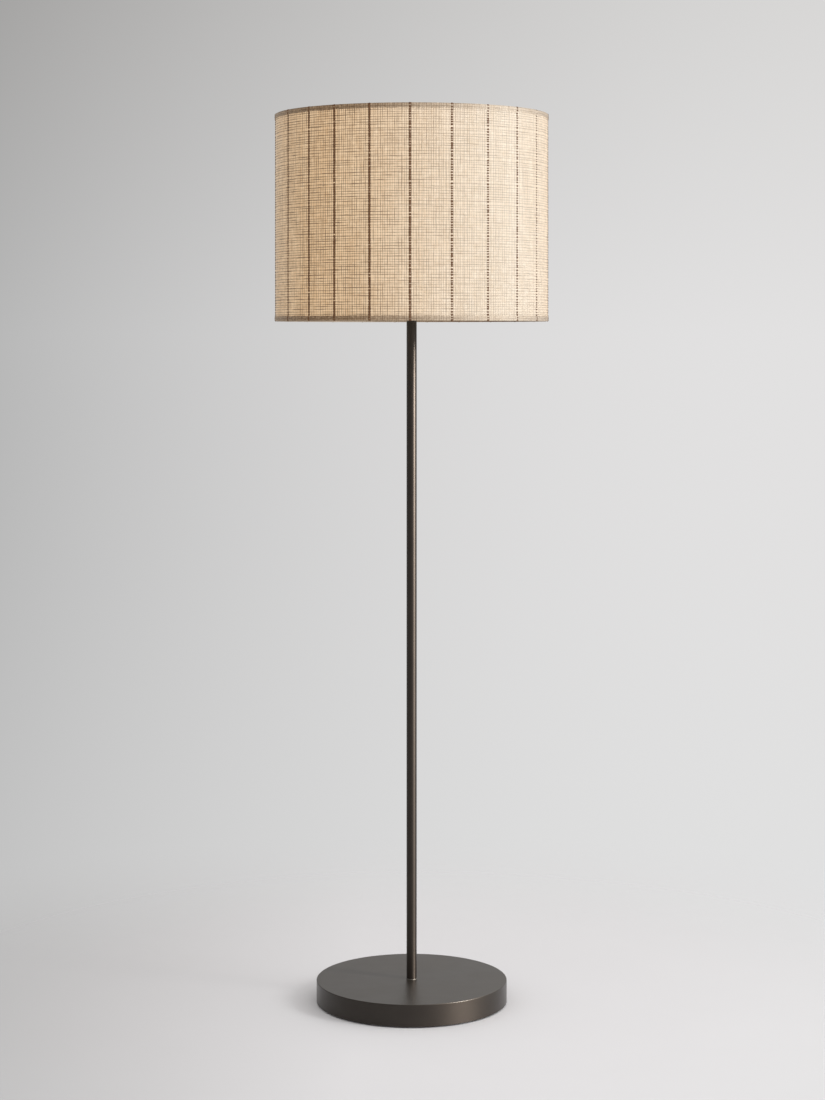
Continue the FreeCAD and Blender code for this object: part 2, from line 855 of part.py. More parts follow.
def set_screw():
    """Small slotted screw that stops the cap turning on its threaded tube."""
    start = Vec(-pipe_radius - lay_gap, 0, holder_foot + set_screw_height)
    body = pin(set_screw_radius, start, -RIGHT, set_screw_length)
    slot = Part.makeBox(small_slot_depth, small_slot_width, 4 * set_screw_radius)
    slot.translate(start + Vec(-set_screw_length, -small_slot_width / 2, -2 * set_screw_radius))
    return body.cut(slot)


def shell_notch(width):
    """The slot, open at the bottom, through which the switch's boss comes out at the front."""
    low = holder_foot + shell_foot - 1
    depth = 2 * cap_lip_radius
    block = Part.makeBox(width, depth, switch_axis.z - low, Vec(-width / 2, -depth, low))
    return block.fuse(pin(width / 2, switch_axis, FRONT, depth))


def holder_shell():
    """Drawn shell that pushes into the cap, with two rolled beads and a turned-in mouth."""
    outer = cap_lip_radius - cap_wall - slip
    inner = outer - shell_wall
    low = holder_foot + shell_foot
    high = holder_foot + shell_top
    half = shell_bead_half
    steps = [(outer, low)]
    for height in shell_bead_heights:
        middle = holder_foot + height
        steps.append((outer, middle - half))
        steps.append(((outer + shell_bead, middle), (outer, middle + half)))
    shoulder = high - shell_mouth_radius
    mouth = outer - shell_mouth_radius
    roof = high - shell_wall
    steps.append((outer, shoulder))
    steps.append(rounded((outer, shoulder), (outer, high), (mouth, high)))
    steps.append((mouth - shell_mouth_lip, high))
    steps.append((mouth - shell_mouth_lip, roof))
    steps.append((mouth, roof))
    steps.append(rounded((mouth, roof), (inner, roof), (inner, shoulder)))
    for height in reversed(shell_bead_heights):
        middle = holder_foot + height
        steps.append((inner, middle + half))
        steps.append(((inner + shell_bead, middle), (inner, middle - half)))
    notch = shell_notch(2 * (switch_boss_radius + shell_notch_room))
    return turned((inner, low), *steps).cut(notch)


def holder_sleeve():
    """Insulating paper sleeve between the shell and the live parts."""
    inner = sleeve_radius - sleeve_wall
    top = holder_foot + screw_shell_top - sleeve_wall
    sleeve = collar(sleeve_radius, inner, holder_foot + sleeve_foot, top)
    return sleeve.cut(shell_notch(2 * (switch_boss_radius + 2 * shell_notch_room)))


def holder_body():
    """Moulded body with the switch's boss and chamber, terminal flats and rivet holes."""
    radius = sleeve_radius - sleeve_wall - drop_in / 2
    low = holder_foot + body_foot
    high = holder_foot + body_top
    boss = pin(switch_boss_radius, switch_axis, FRONT, switch_boss_reach)
    body = disc(radius, low, high).fuse(boss).removeSplitter()
    half = rotor_half + switch_cavity_end
    chamber = pin(switch_cavity_radius, switch_axis - FRONT * half, FRONT, 2 * half)
    body = body.cut(chamber).cut(pin(shaft_radius + running, switch_axis, FRONT, 2 * switch_boss_reach))
    flat = Part.makeBox(radius, terminal_flat_width, high - low + 2)
    flat.translate(Vec(terminal_flat, -terminal_flat_width / 2, low - 1))
    hole_start = Vec(terminal_flat - terminal_shank_length, 0, holder_foot + terminal_height)
    hole = pin(terminal_shank_radius + slip, hole_start, RIGHT, radius)
    body = body.cut([flat, mirrored(flat), hole, mirrored(hole)])
    rivet_hole = pin(rivet_radius + slip, Vec(0, 0, high - rivet_depth), UP, 2 * rivet_depth)
    for side in (-1, 1):
        body = body.cut(rivet_hole.translated(Vec(0, side * rivet_offset, 0)))
    return body.cut(leaf_block(2 * slip))


def leaf_block(gap):
    """The room that the switch's contact leaf takes, grown by a gap."""
    length = leaf_length + 2 * gap
    width = leaf_width + 2 * gap
    low = switch_axis.z + rotor_radius + leaf_gap - gap
    return Part.makeBox(length, width, leaf_thickness + 2 * gap, Vec(-length / 2, -width / 2, low))


def switch_leaf():
    """Springy contact leaf over the switch's rotor."""
    return leaf_block(0.0)


def terminal_screws():
    """The pair of wire terminals, one on each flat of the body."""
    seat = Vec(terminal_flat, 0, holder_foot + terminal_height)
    head = pin(terminal_head_radius, seat, RIGHT, terminal_head_thickness)
    face = seat + RIGHT * terminal_head_thickness
    slot = Part.makeBox(small_slot_depth, 4 * terminal_head_radius, small_slot_width)
    slot.translate(face - Vec(small_slot_depth, 2 * terminal_head_radius, small_slot_width / 2))
    length = terminal_shank_length - rivet_clearance
    shank = pin(terminal_shank_radius, seat - RIGHT * length, RIGHT, length)
    screw = head.cut(slot).fuse(shank).removeSplitter()
    return Part.makeCompound([screw, mirrored(screw)])


def screw_shell():
    """Drawn cup that the bulb screws into, open round the centre contact."""
    inner = screw_shell_radius
    outer = inner + screw_shell_wall
    low = holder_foot + body_top
    high = holder_foot + screw_shell_top
    floor = low + screw_shell_wall
    bend = low + screw_shell_corner
    flat = outer - screw_shell_corner
    cup = turned(
        (screw_shell_eye, low),
        (flat, low),
        rounded((flat, low), (outer, low), (outer, bend)),
        (outer, high),
        (inner, high),
        (inner, bend),
        rounded((inner, bend), (inner, floor), (flat, floor)),
        (screw_shell_eye, floor),
    )
    hole = pin(rivet_radius + slip, Vec(0, 0, low - 1), UP, 3)
    for side in (-1, 1):
        cup = cup.cut(hole.translated(Vec(0, side * rivet_offset, 0)))
    return cup


def shell_rivets():
    """The two rivets that hold the screw shell on the body."""
    low = holder_foot + body_top
    rivet = turned(
        (0, low - rivet_depth + rivet_clearance),
        (rivet_radius, low - rivet_depth + rivet_clearance),
        (rivet_radius, low + screw_shell_wall),
        (rivet_head_radius, low + screw_shell_wall),
        dome(rivet_head_radius, low + screw_shell_wall, rivet_head_thickness),
    )
    return Part.makeCompound([rivet.translated(Vec(0, side * rivet_offset, 0)) for side in (-1, 1)])


def centre_contact():
    """Springy tab that rises to meet the bulb's tip."""
    low = holder_foot + body_top
    thick = contact_thickness
    reach = contact_half_length
    side = outline(
        (-reach, low),
        (-1.2, low),
        (1.6, low + contact_rise),
        (reach, low + contact_rise),
        (reach, low + contact_rise + thick),
        (1.3, low + contact_rise + thick),
        (-1.5, low + thick),
        (-reach, low + thick),
    )
    return side.extrude(Vec(0, contact_width, 0)).translated(Vec(0, -contact_width / 2, 0))


# ---------------------------------------------------------------- switch
def switch_rotor():
    """Cam with lobes that opens and closes the contact leaf as the knob turns."""
    rotor = pin(rotor_radius, switch_axis - FRONT * rotor_half, FRONT, 2 * rotor_half)
    behind = switch_axis - FRONT * 2 * rotor_half
    notch = pin(rotor_notch_radius, behind + UP * rotor_radius, FRONT, 4 * rotor_half)
    for k in range(rotor_lobes):
        cutter = notch.copy()
        cutter.rotate(switch_axis, FRONT, 360 * (k + 0.5) / rotor_lobes)
        rotor = rotor.cut(cutter)
    return rotor.cut(pin(shaft_radius + slip, behind, FRONT, 4 * rotor_half))


def switch_shaft():
    """Shaft from the rotor out through the boss to the knob."""
    tip = switch_boss_reach + knob_gap + knob_length - knob_roof
    return pin(shaft_radius, switch_axis - FRONT * rotor_half, FRONT, rotor_half + tip)


def switch_knob():
    """Fluted, tapered knob with a rounded tip, bored for the shaft."""
    start = switch_boss_reach + knob_gap
    end = start + knob_length
    tip = knob_tip_radius
    soft = knob_tip_rounding
    # drawn along Z and laid over to the front
    body = turned(
        (0, start),
        (knob_radius - knob_chamfer, start),
        (knob_radius, start + knob_chamfer),
        (knob_radius, start + knob_skirt),
        (tip, end - soft),
        rounded((tip, end - soft), (tip, end), (tip - soft, end)),
        (0, end),
    )
    slant = Vec(tip - knob_radius, 0, knob_length)
    groove = pin(knob_flute_radius, Vec(knob_radius, 0, start + knob_skirt), slant, knob_length)
    for k in range(knob_flutes):
        body = body.cut(spun(groove, 360 * k / knob_flutes))
    body = body.cut(disc(shaft_radius + slip, start - 1, end - knob_roof + slip))
    body.rotate(AXIS, RIGHT, 90)
    return body.translated(switch_axis)


# ---------------------------------------------------------------- bulb
def bulb_tip():
    """Tip contact of the bulb."""
    high = bulb_foot + bulb_tip_height
    return turned((0, high), (bulb_tip_radius, high), dome(bulb_tip_radius, high, -bulb_tip_height))


def bulb_insulator():
    """Glass cone between the tip contact and the screw cap."""
    low = bulb_foot + bulb_tip_height
    high = bulb_foot + bulb_glass_height
    return turned(
        (0, low),
        (bulb_tip_radius + 0.8, low),
        ((bulb_glass_top_radius - 2.5, low + 1.2), (bulb_glass_top_radius, high)),
        (0, high),
    )


def bulb_screw_cap():
    """Thin metal cap of the bulb, a cup over the glass cone."""
    low = bulb_foot + bulb_glass_height
    high = bulb_foot + bulb_cap_top
    outer = bulb_cap_radius
    inner = outer - bulb_cap_wall
    return turned(
        (0, low),
        (bulb_glass_top_radius, low),
        (outer, low + bulb_cap_slope),
        (outer, high),
        (inner, high),
        (inner, low + bulb_cap_slope + bulb_cap_wall / 2),
        (bulb_glass_top_radius - bulb_cap_wall / 2, low + bulb_cap_wall),
        (0, low + bulb_cap_wall),
    )


def bulb_collar():
    """Flared plastic housing between the screw cap and the globe, with a ledge for the light board."""
    low = bulb_foot + bulb_cap_top
    high = bulb_foot + bulb_collar_top
    foot = bulb_cap_radius + bulb_collar_step
    wall = bulb_collar_wall
    ledge = high - bulb_board_drop - bulb_board_thickness
    return turned(
        (foot - wall, low),
        (foot, low),
        (foot + 0.6, low + 5),
        ((foot + 4.6, low + 19), (bulb_collar_radius, high)),
        (bulb_collar_radius - wall, high),
        (bulb_collar_radius - wall, ledge),
        (bulb_collar_radius - 3 * wall, ledge),
        (bulb_collar_radius - 3 * wall, ledge - bulb_ledge_thickness),
        ((foot + 3.0 - wall / 2, low + 17), (foot + 0.6 - wall, low + 5)),
    )


def bulb_board():
    """Round light board on the collar's ledge."""
    high = bulb_foot + bulb_collar_top - bulb_board_drop
    radius = bulb_collar_radius - bulb_collar_wall - slip
    return disc(radius, high - bulb_board_thickness, high)


def bulb_globe():
    """Opal globe on the collar: a flared foot under a half ball."""
    low = bulb_foot + bulb_collar_top
    top = bulb_foot + bulb_length
    outer = bulb_globe_radius
    inner = outer - bulb_globe_wall
    foot = bulb_collar_radius
    middle = top - outer
    bulge = (foot + 2 * outer) / 3
    half = (low + middle) / 2
    return turned(
        (foot - bulb_globe_wall, low),
        (foot, low),
        ((bulge, half), (outer, middle)),
        dome(outer, middle, outer),
        (0, top - bulb_globe_wall),
        dome_back(inner, middle),
        ((bulge - bulb_globe_wall, half), (foot - bulb_globe_wall, low)),
    )


# ---------------------------------------------------------------- shade
def shade_ring(height):
    """Round wire ring inside a hem."""
    return Part.makeTorus(ring_reach, ring_wire_radius, Vec(0, 0, height), UP)


def shade_top_ring():
    """Ring inside the upper hem, which the spider's arms are welded to."""
    return shade_ring(rim_height - trim_bend)


def shade_bottom_ring():
    """Ring inside the lower hem."""
    return shade_ring(shade_foot + trim_bend)


def shade_backing():
    """Stiff translucent drum that the fabric is laminated to."""
    inner = backing_radius - backing_thickness
    inset = trim_thickness + edge_play
    return collar(backing_radius, inner, shade_foot + inset, rim_height - inset)


def shade_fabric():
    """Woven cloth cylinder with its vertical lap seam at the back."""
    inner = shade_radius - fabric_thickness
    inset = trim_bend - edge_play
    cloth = collar(shade_radius, inner, shade_foot + inset, rim_height - inset)
    low = shade_foot + trim_cover + slip
    high = rim_height - trim_cover - slip
    lap = collar(shade_radius + seam_thickness, shade_radius - fabric_thickness / 2, low, high)
    strip = Part.makeBox(seam_width, 4 * fabric_thickness, high - low + 2)
    strip.translate(Vec(-seam_width / 2, inner - fabric_thickness, low - 1))
    return cloth.fuse(lap.common(strip)).removeSplitter()


def turned_hem():
    """Cloth tape folded over a rim: drawn for the upper rim, with the rim at height zero."""
    out = trim_outside
    inn = trim_inside
    bend = trim_bend
    thick = trim_thickness
    small = bend - thick
    return turned(
        (out, -trim_cover),
        (out, -bend),
        *in_flats((out, -bend), (out, 0), (out - bend, 0)),
        (inn + bend, 0),
        *in_flats((inn + bend, 0), (inn, 0), (inn, -bend)),
        (inn, -trim_return),
        (inn + thick, -trim_return),
        (inn + thick, -bend),
        *in_flats((inn + thick, -bend), (inn + thick, -thick), (inn + thick + small, -thick)),
        (out - thick - small, -thick),
        *in_flats((out - thick - small, -thick), (out - thick, -thick), (out - thick, -bend)),
        (out - thick, -trim_cover),
    )


def shade_top_trim():
    """Hem over the upper rim."""
    return turned_hem().translated(Vec(0, 0, rim_height))


def shade_bottom_trim():
    """Hem over the lower rim."""
    hem = turned_hem().mirror(AXIS, UP)
    return hem.translated(Vec(0, 0, shade_foot))


def spider_hub():
    """Drilled washer that sits on the harp's stud."""
    return collar(hub_radius, hub_hole_radius, shade_seat, hub_top)


def spider_arms():
    """Wire arms from the hub to the upper ring, turned up behind the hem at their ends."""
    ring_foot = rim_height - trim_bend - ring_wire_radius
    points = [
        Vec(arm_start_radius, 0, arm_height),
        Vec(ring_reach, 0, arm_height),
        Vec(ring_reach, 0, ring_foot),
    ]
    arm = wire_along(bent_path(points, [arm_bend_radius]), points[0], points[1], arm_wire_radius)
    arms = [spun(arm, arm_first_angle + 360 * k / arm_count) for k in range(arm_count)]
    return Part.makeCompound(arms)


# ---------------------------------------------------------------- finial
def finial_washer():
    """Loose washer under the finial."""
    return collar(finial_washer_radius, hub_hole_radius, washer_foot, washer_foot + finial_washer_thickness)


def finial():
    """Turned knob: a stepped foot, a drawn-in neck and a ball, with a blind bore for the stud."""
    low = finial_foot
    top = low + finial_length
    ball = top - finial_ball_radius
    foot = finial_foot_radius
    neck = finial_neck_radius
    bore = stud_radius + thread_play
    step_top = low + finial_foot_height + finial_step_height
    join = 0.75 * finial_ball_radius
    join_height = ball - math.sqrt(finial_ball_radius ** 2 - join ** 2)
    return turned(
        (bore, low),
        (foot - finial_chamfer, low),
        (foot, low + finial_chamfer),
        (foot, low + finial_foot_height),
        (foot - finial_step, step_top),
        ((neck, (step_top + join_height) / 2), (join, join_height)),
        ((finial_ball_radius, ball), (join, 2 * ball - join_height)),
        ((join / 2, ball + math.sqrt(finial_ball_radius ** 2 - join ** 2 / 4)), (0, top)),
        (0, finial_bore_top),
        (bore, finial_bore_top),
    )


# ---------------------------------------------------------------- every piece, by the name of its node
PIECES = {
    "foot_cover": foot_cover,
    "foot_weight": foot_weight,
    "weight_inserts": weight_inserts,
    "foot_plate": foot_plate,
    "plate_screws": plate_screws,
    "floor_pad": floor_pad,
    "cord_bushing": cord_bushing,
    "clamp_washer": clamp_washer,
    "tooth_washer": tooth_washer,
    "foot_nut": foot_nut,
    "foot_pipe": foot_pipe,
    "seat_ring": seat_ring,
    "column_foot_plug": lambda: column_plug(column_foot + column_plug_inset),
    "column": column,
    "column_top_plug": lambda: column_plug(column_top - column_plug_inset - column_plug_length),
    "neck_ring": neck_ring,
    "neck_pipe": neck_pipe,
    "saddle": saddle,
    "saddle_lock_nut": saddle_lock_nut,
    "harp": harp,
    "ferrule_left": lambda: ferrule(-1),
    "ferrule_right": lambda: ferrule(1),
    "swivel_stud": swivel_stud,
    "holder_cap": holder_cap,
    "cap_set_screw": set_screw,
    "holder_shell": holder_shell,
    "holder_sleeve": holder_sleeve,
    "holder_body": holder_body,
    "switch_leaf": switch_leaf,
    "terminal_screws": terminal_screws,
    "screw_shell": screw_shell,
    "shell_rivets": shell_rivets,
    "centre_contact": centre_contact,
    "switch_rotor": switch_rotor,
    "switch_shaft": switch_shaft,
    "switch_knob": switch_knob,
    "bulb_tip": bulb_tip,
    "bulb_insulator": bulb_insulator,
    "bulb_screw_cap": bulb_screw_cap,
    "bulb_collar": bulb_collar,
    "bulb_board": bulb_board,
    "bulb_globe": bulb_globe,
    "shade_top_ring": shade_top_ring,
    "shade_bottom_ring": shade_bottom_ring,
    "shade_backing": shade_backing,
    "shade_fabric": shade_fabric,
    "shade_top_trim": shade_top_trim,
    "shade_bottom_trim": shade_bottom_trim,
    "spider_hub": spider_hub,
    "spider_arms": spider_arms,
    "finial_washer": finial_washer,
    "finial": finial,
}


def main():
    """Builds every piece and writes one file for each."""
    os.makedirs("parts", exist_ok=True)
    for name, build in PIECES.items():
        shape = build()
        if not shape.isValid() or not shape.Solids or min(s.Volume for s in shape.Solids) <= 0:
            raise ValueError(name + " is not made of sound solids")
        shape.exportStep("parts/" + name + ".step")


main()
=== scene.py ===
"""Column floor lamp: striped drum shade on a wire harp, turn-knob lamp holder, slim column, weighted foot.

Sizes are in millimetres, and the points made from them in metres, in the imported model's frame: +Z up, the
front along -Y, the right along +X, and the origin on the floor under the column's axis.
"""

import logging
import math
from dataclasses import dataclass, replace
from enum import Enum
from typing import Callable, ClassVar, Optional, Union

import bmesh
import bpy
import numpy as np
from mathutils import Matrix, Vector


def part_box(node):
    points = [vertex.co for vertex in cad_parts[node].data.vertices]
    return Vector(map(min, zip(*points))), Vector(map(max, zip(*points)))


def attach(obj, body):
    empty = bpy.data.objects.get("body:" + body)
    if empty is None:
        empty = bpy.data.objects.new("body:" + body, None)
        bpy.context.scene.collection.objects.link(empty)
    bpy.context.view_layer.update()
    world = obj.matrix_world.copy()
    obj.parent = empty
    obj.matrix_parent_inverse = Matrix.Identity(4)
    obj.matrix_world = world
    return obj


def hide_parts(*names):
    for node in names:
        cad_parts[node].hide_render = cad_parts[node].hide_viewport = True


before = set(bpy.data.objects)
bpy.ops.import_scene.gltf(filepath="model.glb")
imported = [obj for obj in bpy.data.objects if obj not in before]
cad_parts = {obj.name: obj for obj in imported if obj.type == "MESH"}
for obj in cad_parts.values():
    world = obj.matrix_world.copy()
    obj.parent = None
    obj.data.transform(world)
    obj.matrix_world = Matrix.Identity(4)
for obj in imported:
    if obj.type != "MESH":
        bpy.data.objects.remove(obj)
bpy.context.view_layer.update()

log = logging.getLogger("column_lamp")
Array = np.ndarray
Piece = bpy.types.Object
Socket = bpy.types.NodeSocket
Tree = bpy.types.NodeTree
Triple = tuple[float, float, float]
Colour = tuple[float, float, float, float]
Feed = Union[float, int, tuple, Socket]
Feeds = dict[Union[str, int], Feed]
Wave = Callable[[Array, Array, Array], Array]
MM = 0.001
TURN = 2 * math.pi
INCH = 25.4
TUBE_PITCH = INCH / 27
CAP_PITCH = INCH / 7


def tint(red: float, green: float, blue: float) -> Colour:
    """A display colour as the linear colour that shaders take, with an alpha of 1.

    Args:
        red: red from 0 to 255.
        green: green.
        blue: blue.

    Returns:
        The linear colour.
    """
    parts = np.array([red, green, blue]) / 255.0
    linear = np.where(parts <= 0.04045, parts / 12.92, ((parts + 0.055) / 1.055) ** 2.4)
    return (*linear.tolist(), 1.0)


# ---------------------------------------------------------------- surfaces
def net(rows: int, columns: int, round_rows: bool, round_columns: bool) -> tuple[Array, Array, Array]:
    """Faces of a grid of points: face (r, c) joins points (r, c), (r, c+1), (r+1, c+1) and (r+1, c).

    Args:
        rows: how many rows of points.
        columns: how many points in a row.
        round_rows: whether the last row joins the first.
        round_columns: whether a row's last point joins its first.

    Returns:
        Point numbers of each face's corners, and the corners' rows and columns counted on past the join.
    """
    row = np.arange(rows if round_rows else rows - 1)
    column = np.arange(columns if round_columns else columns - 1)
    r, c = np.meshgrid(row, column, indexing="ij")
    corner_rows = np.stack([r, r, r + 1, r + 1], axis=-1).reshape(-1, 4)
    corner_columns = np.stack([c, c + 1, c + 1, c], axis=-1).reshape(-1, 4)
    return (corner_rows % rows) * columns + corner_columns % columns, corner_rows, corner_columns


def make_piece(name: str, points: Array, faces: Array, places: Optional[Array] = None,
               crease: float = 35.0) -> Piece:
    """A smooth mesh object with doubled points merged, faces turned outwards and sharp edges kept sharp.

    Args:
        name: the piece's name.
        points: (n, 3) places in metres.
        faces: (m, 3) or (m, 4) point numbers.
        places: for each face's corner, its place on the weave, in yarn counts.
        crease: angle in degrees over which an edge stays sharp.

    Returns:
        The new object, linked to the scene.
    """
    mesh = bpy.data.meshes.new(name)
    mesh.vertices.add(len(points))
    mesh.vertices.foreach_set("co", np.ascontiguousarray(points, np.float32).ravel())
    mesh.loops.add(faces.size)
    mesh.loops.foreach_set("vertex_index", np.ascontiguousarray(faces, np.int32).ravel())
    mesh.polygons.add(len(faces))
    mesh.polygons.foreach_set("loop_start", np.arange(len(faces), dtype=np.int32) * faces.shape[1])
    if places is not None:
        layer = mesh.uv_layers.new(name="Yarns")
        layer.uv.foreach_set("vector", np.ascontiguousarray(places, np.float32).ravel())
    mesh.update(calc_edges=True)
    work = bmesh.new()
    work.from_mesh(mesh)
    bmesh.ops.remove_doubles(work, verts=work.verts, dist=1e-6)
    bmesh.ops.dissolve_degenerate(work, edges=work.edges, dist=1e-7)
    bmesh.ops.recalc_face_normals(work, faces=work.faces)
    work.to_mesh(mesh)
    work.free()
    mesh.polygons.foreach_set("use_smooth", np.ones(len(mesh.polygons), bool))
    mesh.set_sharp_from_angle(angle=math.radians(crease))
    piece = bpy.data.objects.new(name, mesh)
    bpy.context.scene.collection.objects.link(piece)
    log.info("%s: %d faces", name, len(mesh.polygons))
    return piece


def arc(centre: tuple[float, float], radius: float, start: float, end: float, steps: int) -> Array:
    """Points on a circle: centre + radius times (cosine, sine) of angles from start to end, in degrees.

    Args:
        centre: the circle's middle.
        radius: its radius.
        start: first angle.
        end: last angle.
        steps: how many points.

    Returns:
        (steps, 2) points.
    """
    angle = np.radians(np.linspace(start, end, steps))
    return np.stack([centre[0] + radius * np.cos(angle), centre[1] + radius * np.sin(angle)], axis=-1)


def along(*points: tuple[float, float], step: float) -> Array:
    """Points on straight runs, at even steps no longer than the one given.

    Args:
        points: the runs' ends.
        step: the longest step.

    Returns:
        (n, 2) points, the runs' ends among them.
    """
    made = [np.array([points[0]])]
    for here, there in zip(points, points[1:]):
        share = np.linspace(0, 1, max(1, math.ceil(math.dist(here, there) / step)) + 1)[1:, None]
        made.append(np.array(here) * (1 - share) + np.array(there) * share)
    return np.concatenate(made)


def turned(name: str, profile: Array, steps: int, wave: Optional[Wave] = None,
           crease: float = 35.0) -> Piece:
    """A profile carried round the lamp's axis: (radius cos t, radius sin t, height) for t over a whole turn.

    Args:
        name: the piece's name.
        profile: (n, 2) radii and heights, a closed loop or a line from axis to axis.
        steps: how many steps in the turn.
        wave: what is added to the radius, from the radius, the height and the angle.
        crease: angle in degrees over which an edge stays sharp.

    Returns:
        The new piece.
    """
    angle = np.linspace(0, TURN, steps, endpoint=False)
    radius = np.repeat(profile[:, :1], steps, axis=1)
    height = np.repeat(profile[:, 1:], steps, axis=1)
    if wave is not None:
        radius = radius + wave(radius, height, angle[None, :])
    points = np.stack([radius * np.cos(angle), radius * np.sin(angle), height], axis=-1).reshape(-1, 3) * MM
    closed = np.abs(profile[[0, -1], 0]).max() >= 1e-6
    return make_piece(name, points, net(len(profile), steps, closed, True)[0], crease=crease)


@dataclass(frozen=True)
class Thread:
    """A right-handed thread: the radius falls by depth times (1 + cosine) / 2 of the place in the pitch.

    The place is height over pitch less the share of the turn, and the cut fades out towards both ends.
    """

    pitch: float
    depth: float
    low: float
    high: float
    inside: float = 0.0

    def __call__(self, radius: Array, height: Array, angle: Array) -> Array:
        """The radius that the thread takes away at each point of the wall outside its inner limit.

        Args:
            radius: radii of the plain wall.
            height: heights.
            angle: angles in radians.

        Returns:
            What is added to the radius.
        """
        place = height / self.pitch - angle / TURN
        fade = np.clip((height - self.low) / self.pitch, 0, 1)
        fade = fade * np.clip((self.high - height) / self.pitch, 0, 1)
        return -self.depth * fade * (0.5 + 0.5 * np.cos(TURN * place)) * (radius > self.inside)


# ---------------------------------------------------------------- shader building
class Canvas:
    """A node tree being drawn, with short ways to add its nodes."""

    def __init__(self, tree: Tree) -> None:
        """Starts on a material's, the world's or a group's tree."""
        self.tree = tree

    @classmethod
    def over(cls, owner: Union[bpy.types.Material, bpy.types.World]) -> "Canvas":
        """The canvas of a new material's or world's tree, emptied.

        Args:
            owner: the material or world.

        Returns:
            The canvas.
        """
        owner.use_nodes = True
        owner.node_tree.nodes.clear()
        return cls(owner.node_tree)

    @property
    def here(self) -> Socket:
        """The place on the piece, in metres."""
        return self.add("TexCoord").outputs["Object"]

    def add(self, kind: str, feeds: Optional[Feeds] = None, **settings: object) -> bpy.types.Node:
        """Adds a node.

        Args:
            kind: its type after "ShaderNode".
            feeds: for inputs, by name or number, a number, a tuple or another node's output.
            settings: the node's own settings.

        Returns:
            The node.
        """
        node = self.tree.nodes.new("ShaderNode" + kind)
        for key, value in settings.items():
            setattr(node, key, value)
        for key, value in (feeds or {}).items():
            if isinstance(value, bpy.types.NodeSocket):
                self.tree.links.new(value, node.inputs[key])
            else:
                node.inputs[key].default_value = value
        return node

    def math(self, operation: str, *values: Feed, clamp: bool = False) -> Socket:
        """The result of a sum of one to three values, kept from 0 to 1 if asked."""
        return self.add("Math", dict(enumerate(values)), operation=operation, use_clamp=clamp).outputs[0]

    def times(self, first: Feed, second: Feed) -> Socket:
        """The product of two values."""
        return self.math("MULTIPLY", first, second)

    def scaled(self, value: Feed, by: Feed, plus: Feed, clamp: bool = False) -> Socket:
        """A value times one, plus another."""
        return self.math("MULTIPLY_ADD", value, by, plus, clamp=clamp)

    def split(self, place: Socket) -> bpy.types.NodeOutputs:
        """The three parts of a place or a direction."""
        return self.add("SeparateXYZ", {0: place}).outputs

    def joined(self, *parts: Feed) -> Socket:
        """A place or a direction of three parts."""
        return self.add("CombineXYZ", dict(enumerate(parts))).outputs[0]

    def blend(self, share: Feed, low: Feed, high: Feed) -> Socket:
        """A colour mixed from the first at a share of 0 to the second at 1."""
        return self.add("Mix", {0: share, 6: low, 7: high}, data_type="RGBA").outputs[2]

    def spread(self, value: Feed, low: float, high: float, to_low: float = 0.0, to_high: float = 1.0,
               smooth: bool = False) -> Socket:
        """A value carried from one range to another and held at its ends, easing in and out if smooth."""
        way, feeds = "SMOOTHSTEP" if smooth else "LINEAR", {0: value, 1: low, 2: high, 3: to_low, 4: to_high}
        return self.add("MapRange", feeds, interpolation_type=way).outputs[0]

    def noise(self, place: Feed, scale: Feed, detail: float = 2.0, roughness: float = 0.5) -> Socket:
        """Cloudy noise from 0 to 1, with so many features in a unit and finer layers of a given strength."""
        feeds = {"Vector": place, "Scale": scale, "Detail": detail, "Roughness": roughness}
        return self.add("TexNoise", feeds).outputs[0]

    def stretch(self, place: Feed, scale: Triple) -> Socket:
        """A place with each direction scaled by itself."""
        return self.add("Mapping", {"Vector": place, "Scale": scale}).outputs[0]

    def group(self, tree: Tree, **feeds: Feed) -> bpy.types.NodeOutputs:
        """The outputs of a group that is placed with values for its inputs."""
        named = {key.replace("_", " "): value for key, value in feeds.items()}
        return self.add("Group", named, node_tree=tree).outputs

    def bump(self, height: Feed, depth: float, strength: float = 1.0) -> Socket:
        """The normal of a relief that is so deep in metres at a height of 1."""
        return self.add("Bump", {"Height": height, "Distance": depth, "Strength": strength}).outputs[0]


class Kind(Enum):
    """What a group's socket carries."""

    VALUE = "NodeSocketFloat"
    PLACE = "NodeSocketVector"


def new_group(name: str, takes: dict[str, Union[Kind, float]],
              draw: Callable[[Canvas, dict[str, Socket]], dict[str, Socket]]) -> Tree:
    """A shader group with named inputs and outputs.

    Args:
        name: the group's name.
        takes: its inputs: a place, or a value that it starts with.
        draw: makes its nodes, from its canvas and inputs, and tells its outputs, all values.

    Returns:
        The group.
    """
    tree = bpy.data.node_groups.new(name, "ShaderNodeTree")
    for label, start in takes.items():
        kind = start if isinstance(start, Kind) else Kind.VALUE
        socket = tree.interface.new_socket(label, in_out="INPUT", socket_type=kind.value)
        if kind is Kind.VALUE:
            socket.default_value = start
    made = draw(Canvas(tree), dict(tree.nodes.new("NodeGroupInput").outputs.items()))
    for label in made:
        tree.interface.new_socket(label, in_out="OUTPUT", socket_type=Kind.VALUE.value)
    drain = tree.nodes.new("NodeGroupOutput")
    for label, value in made.items():
        tree.links.new(value, drain.inputs[label])
    return tree


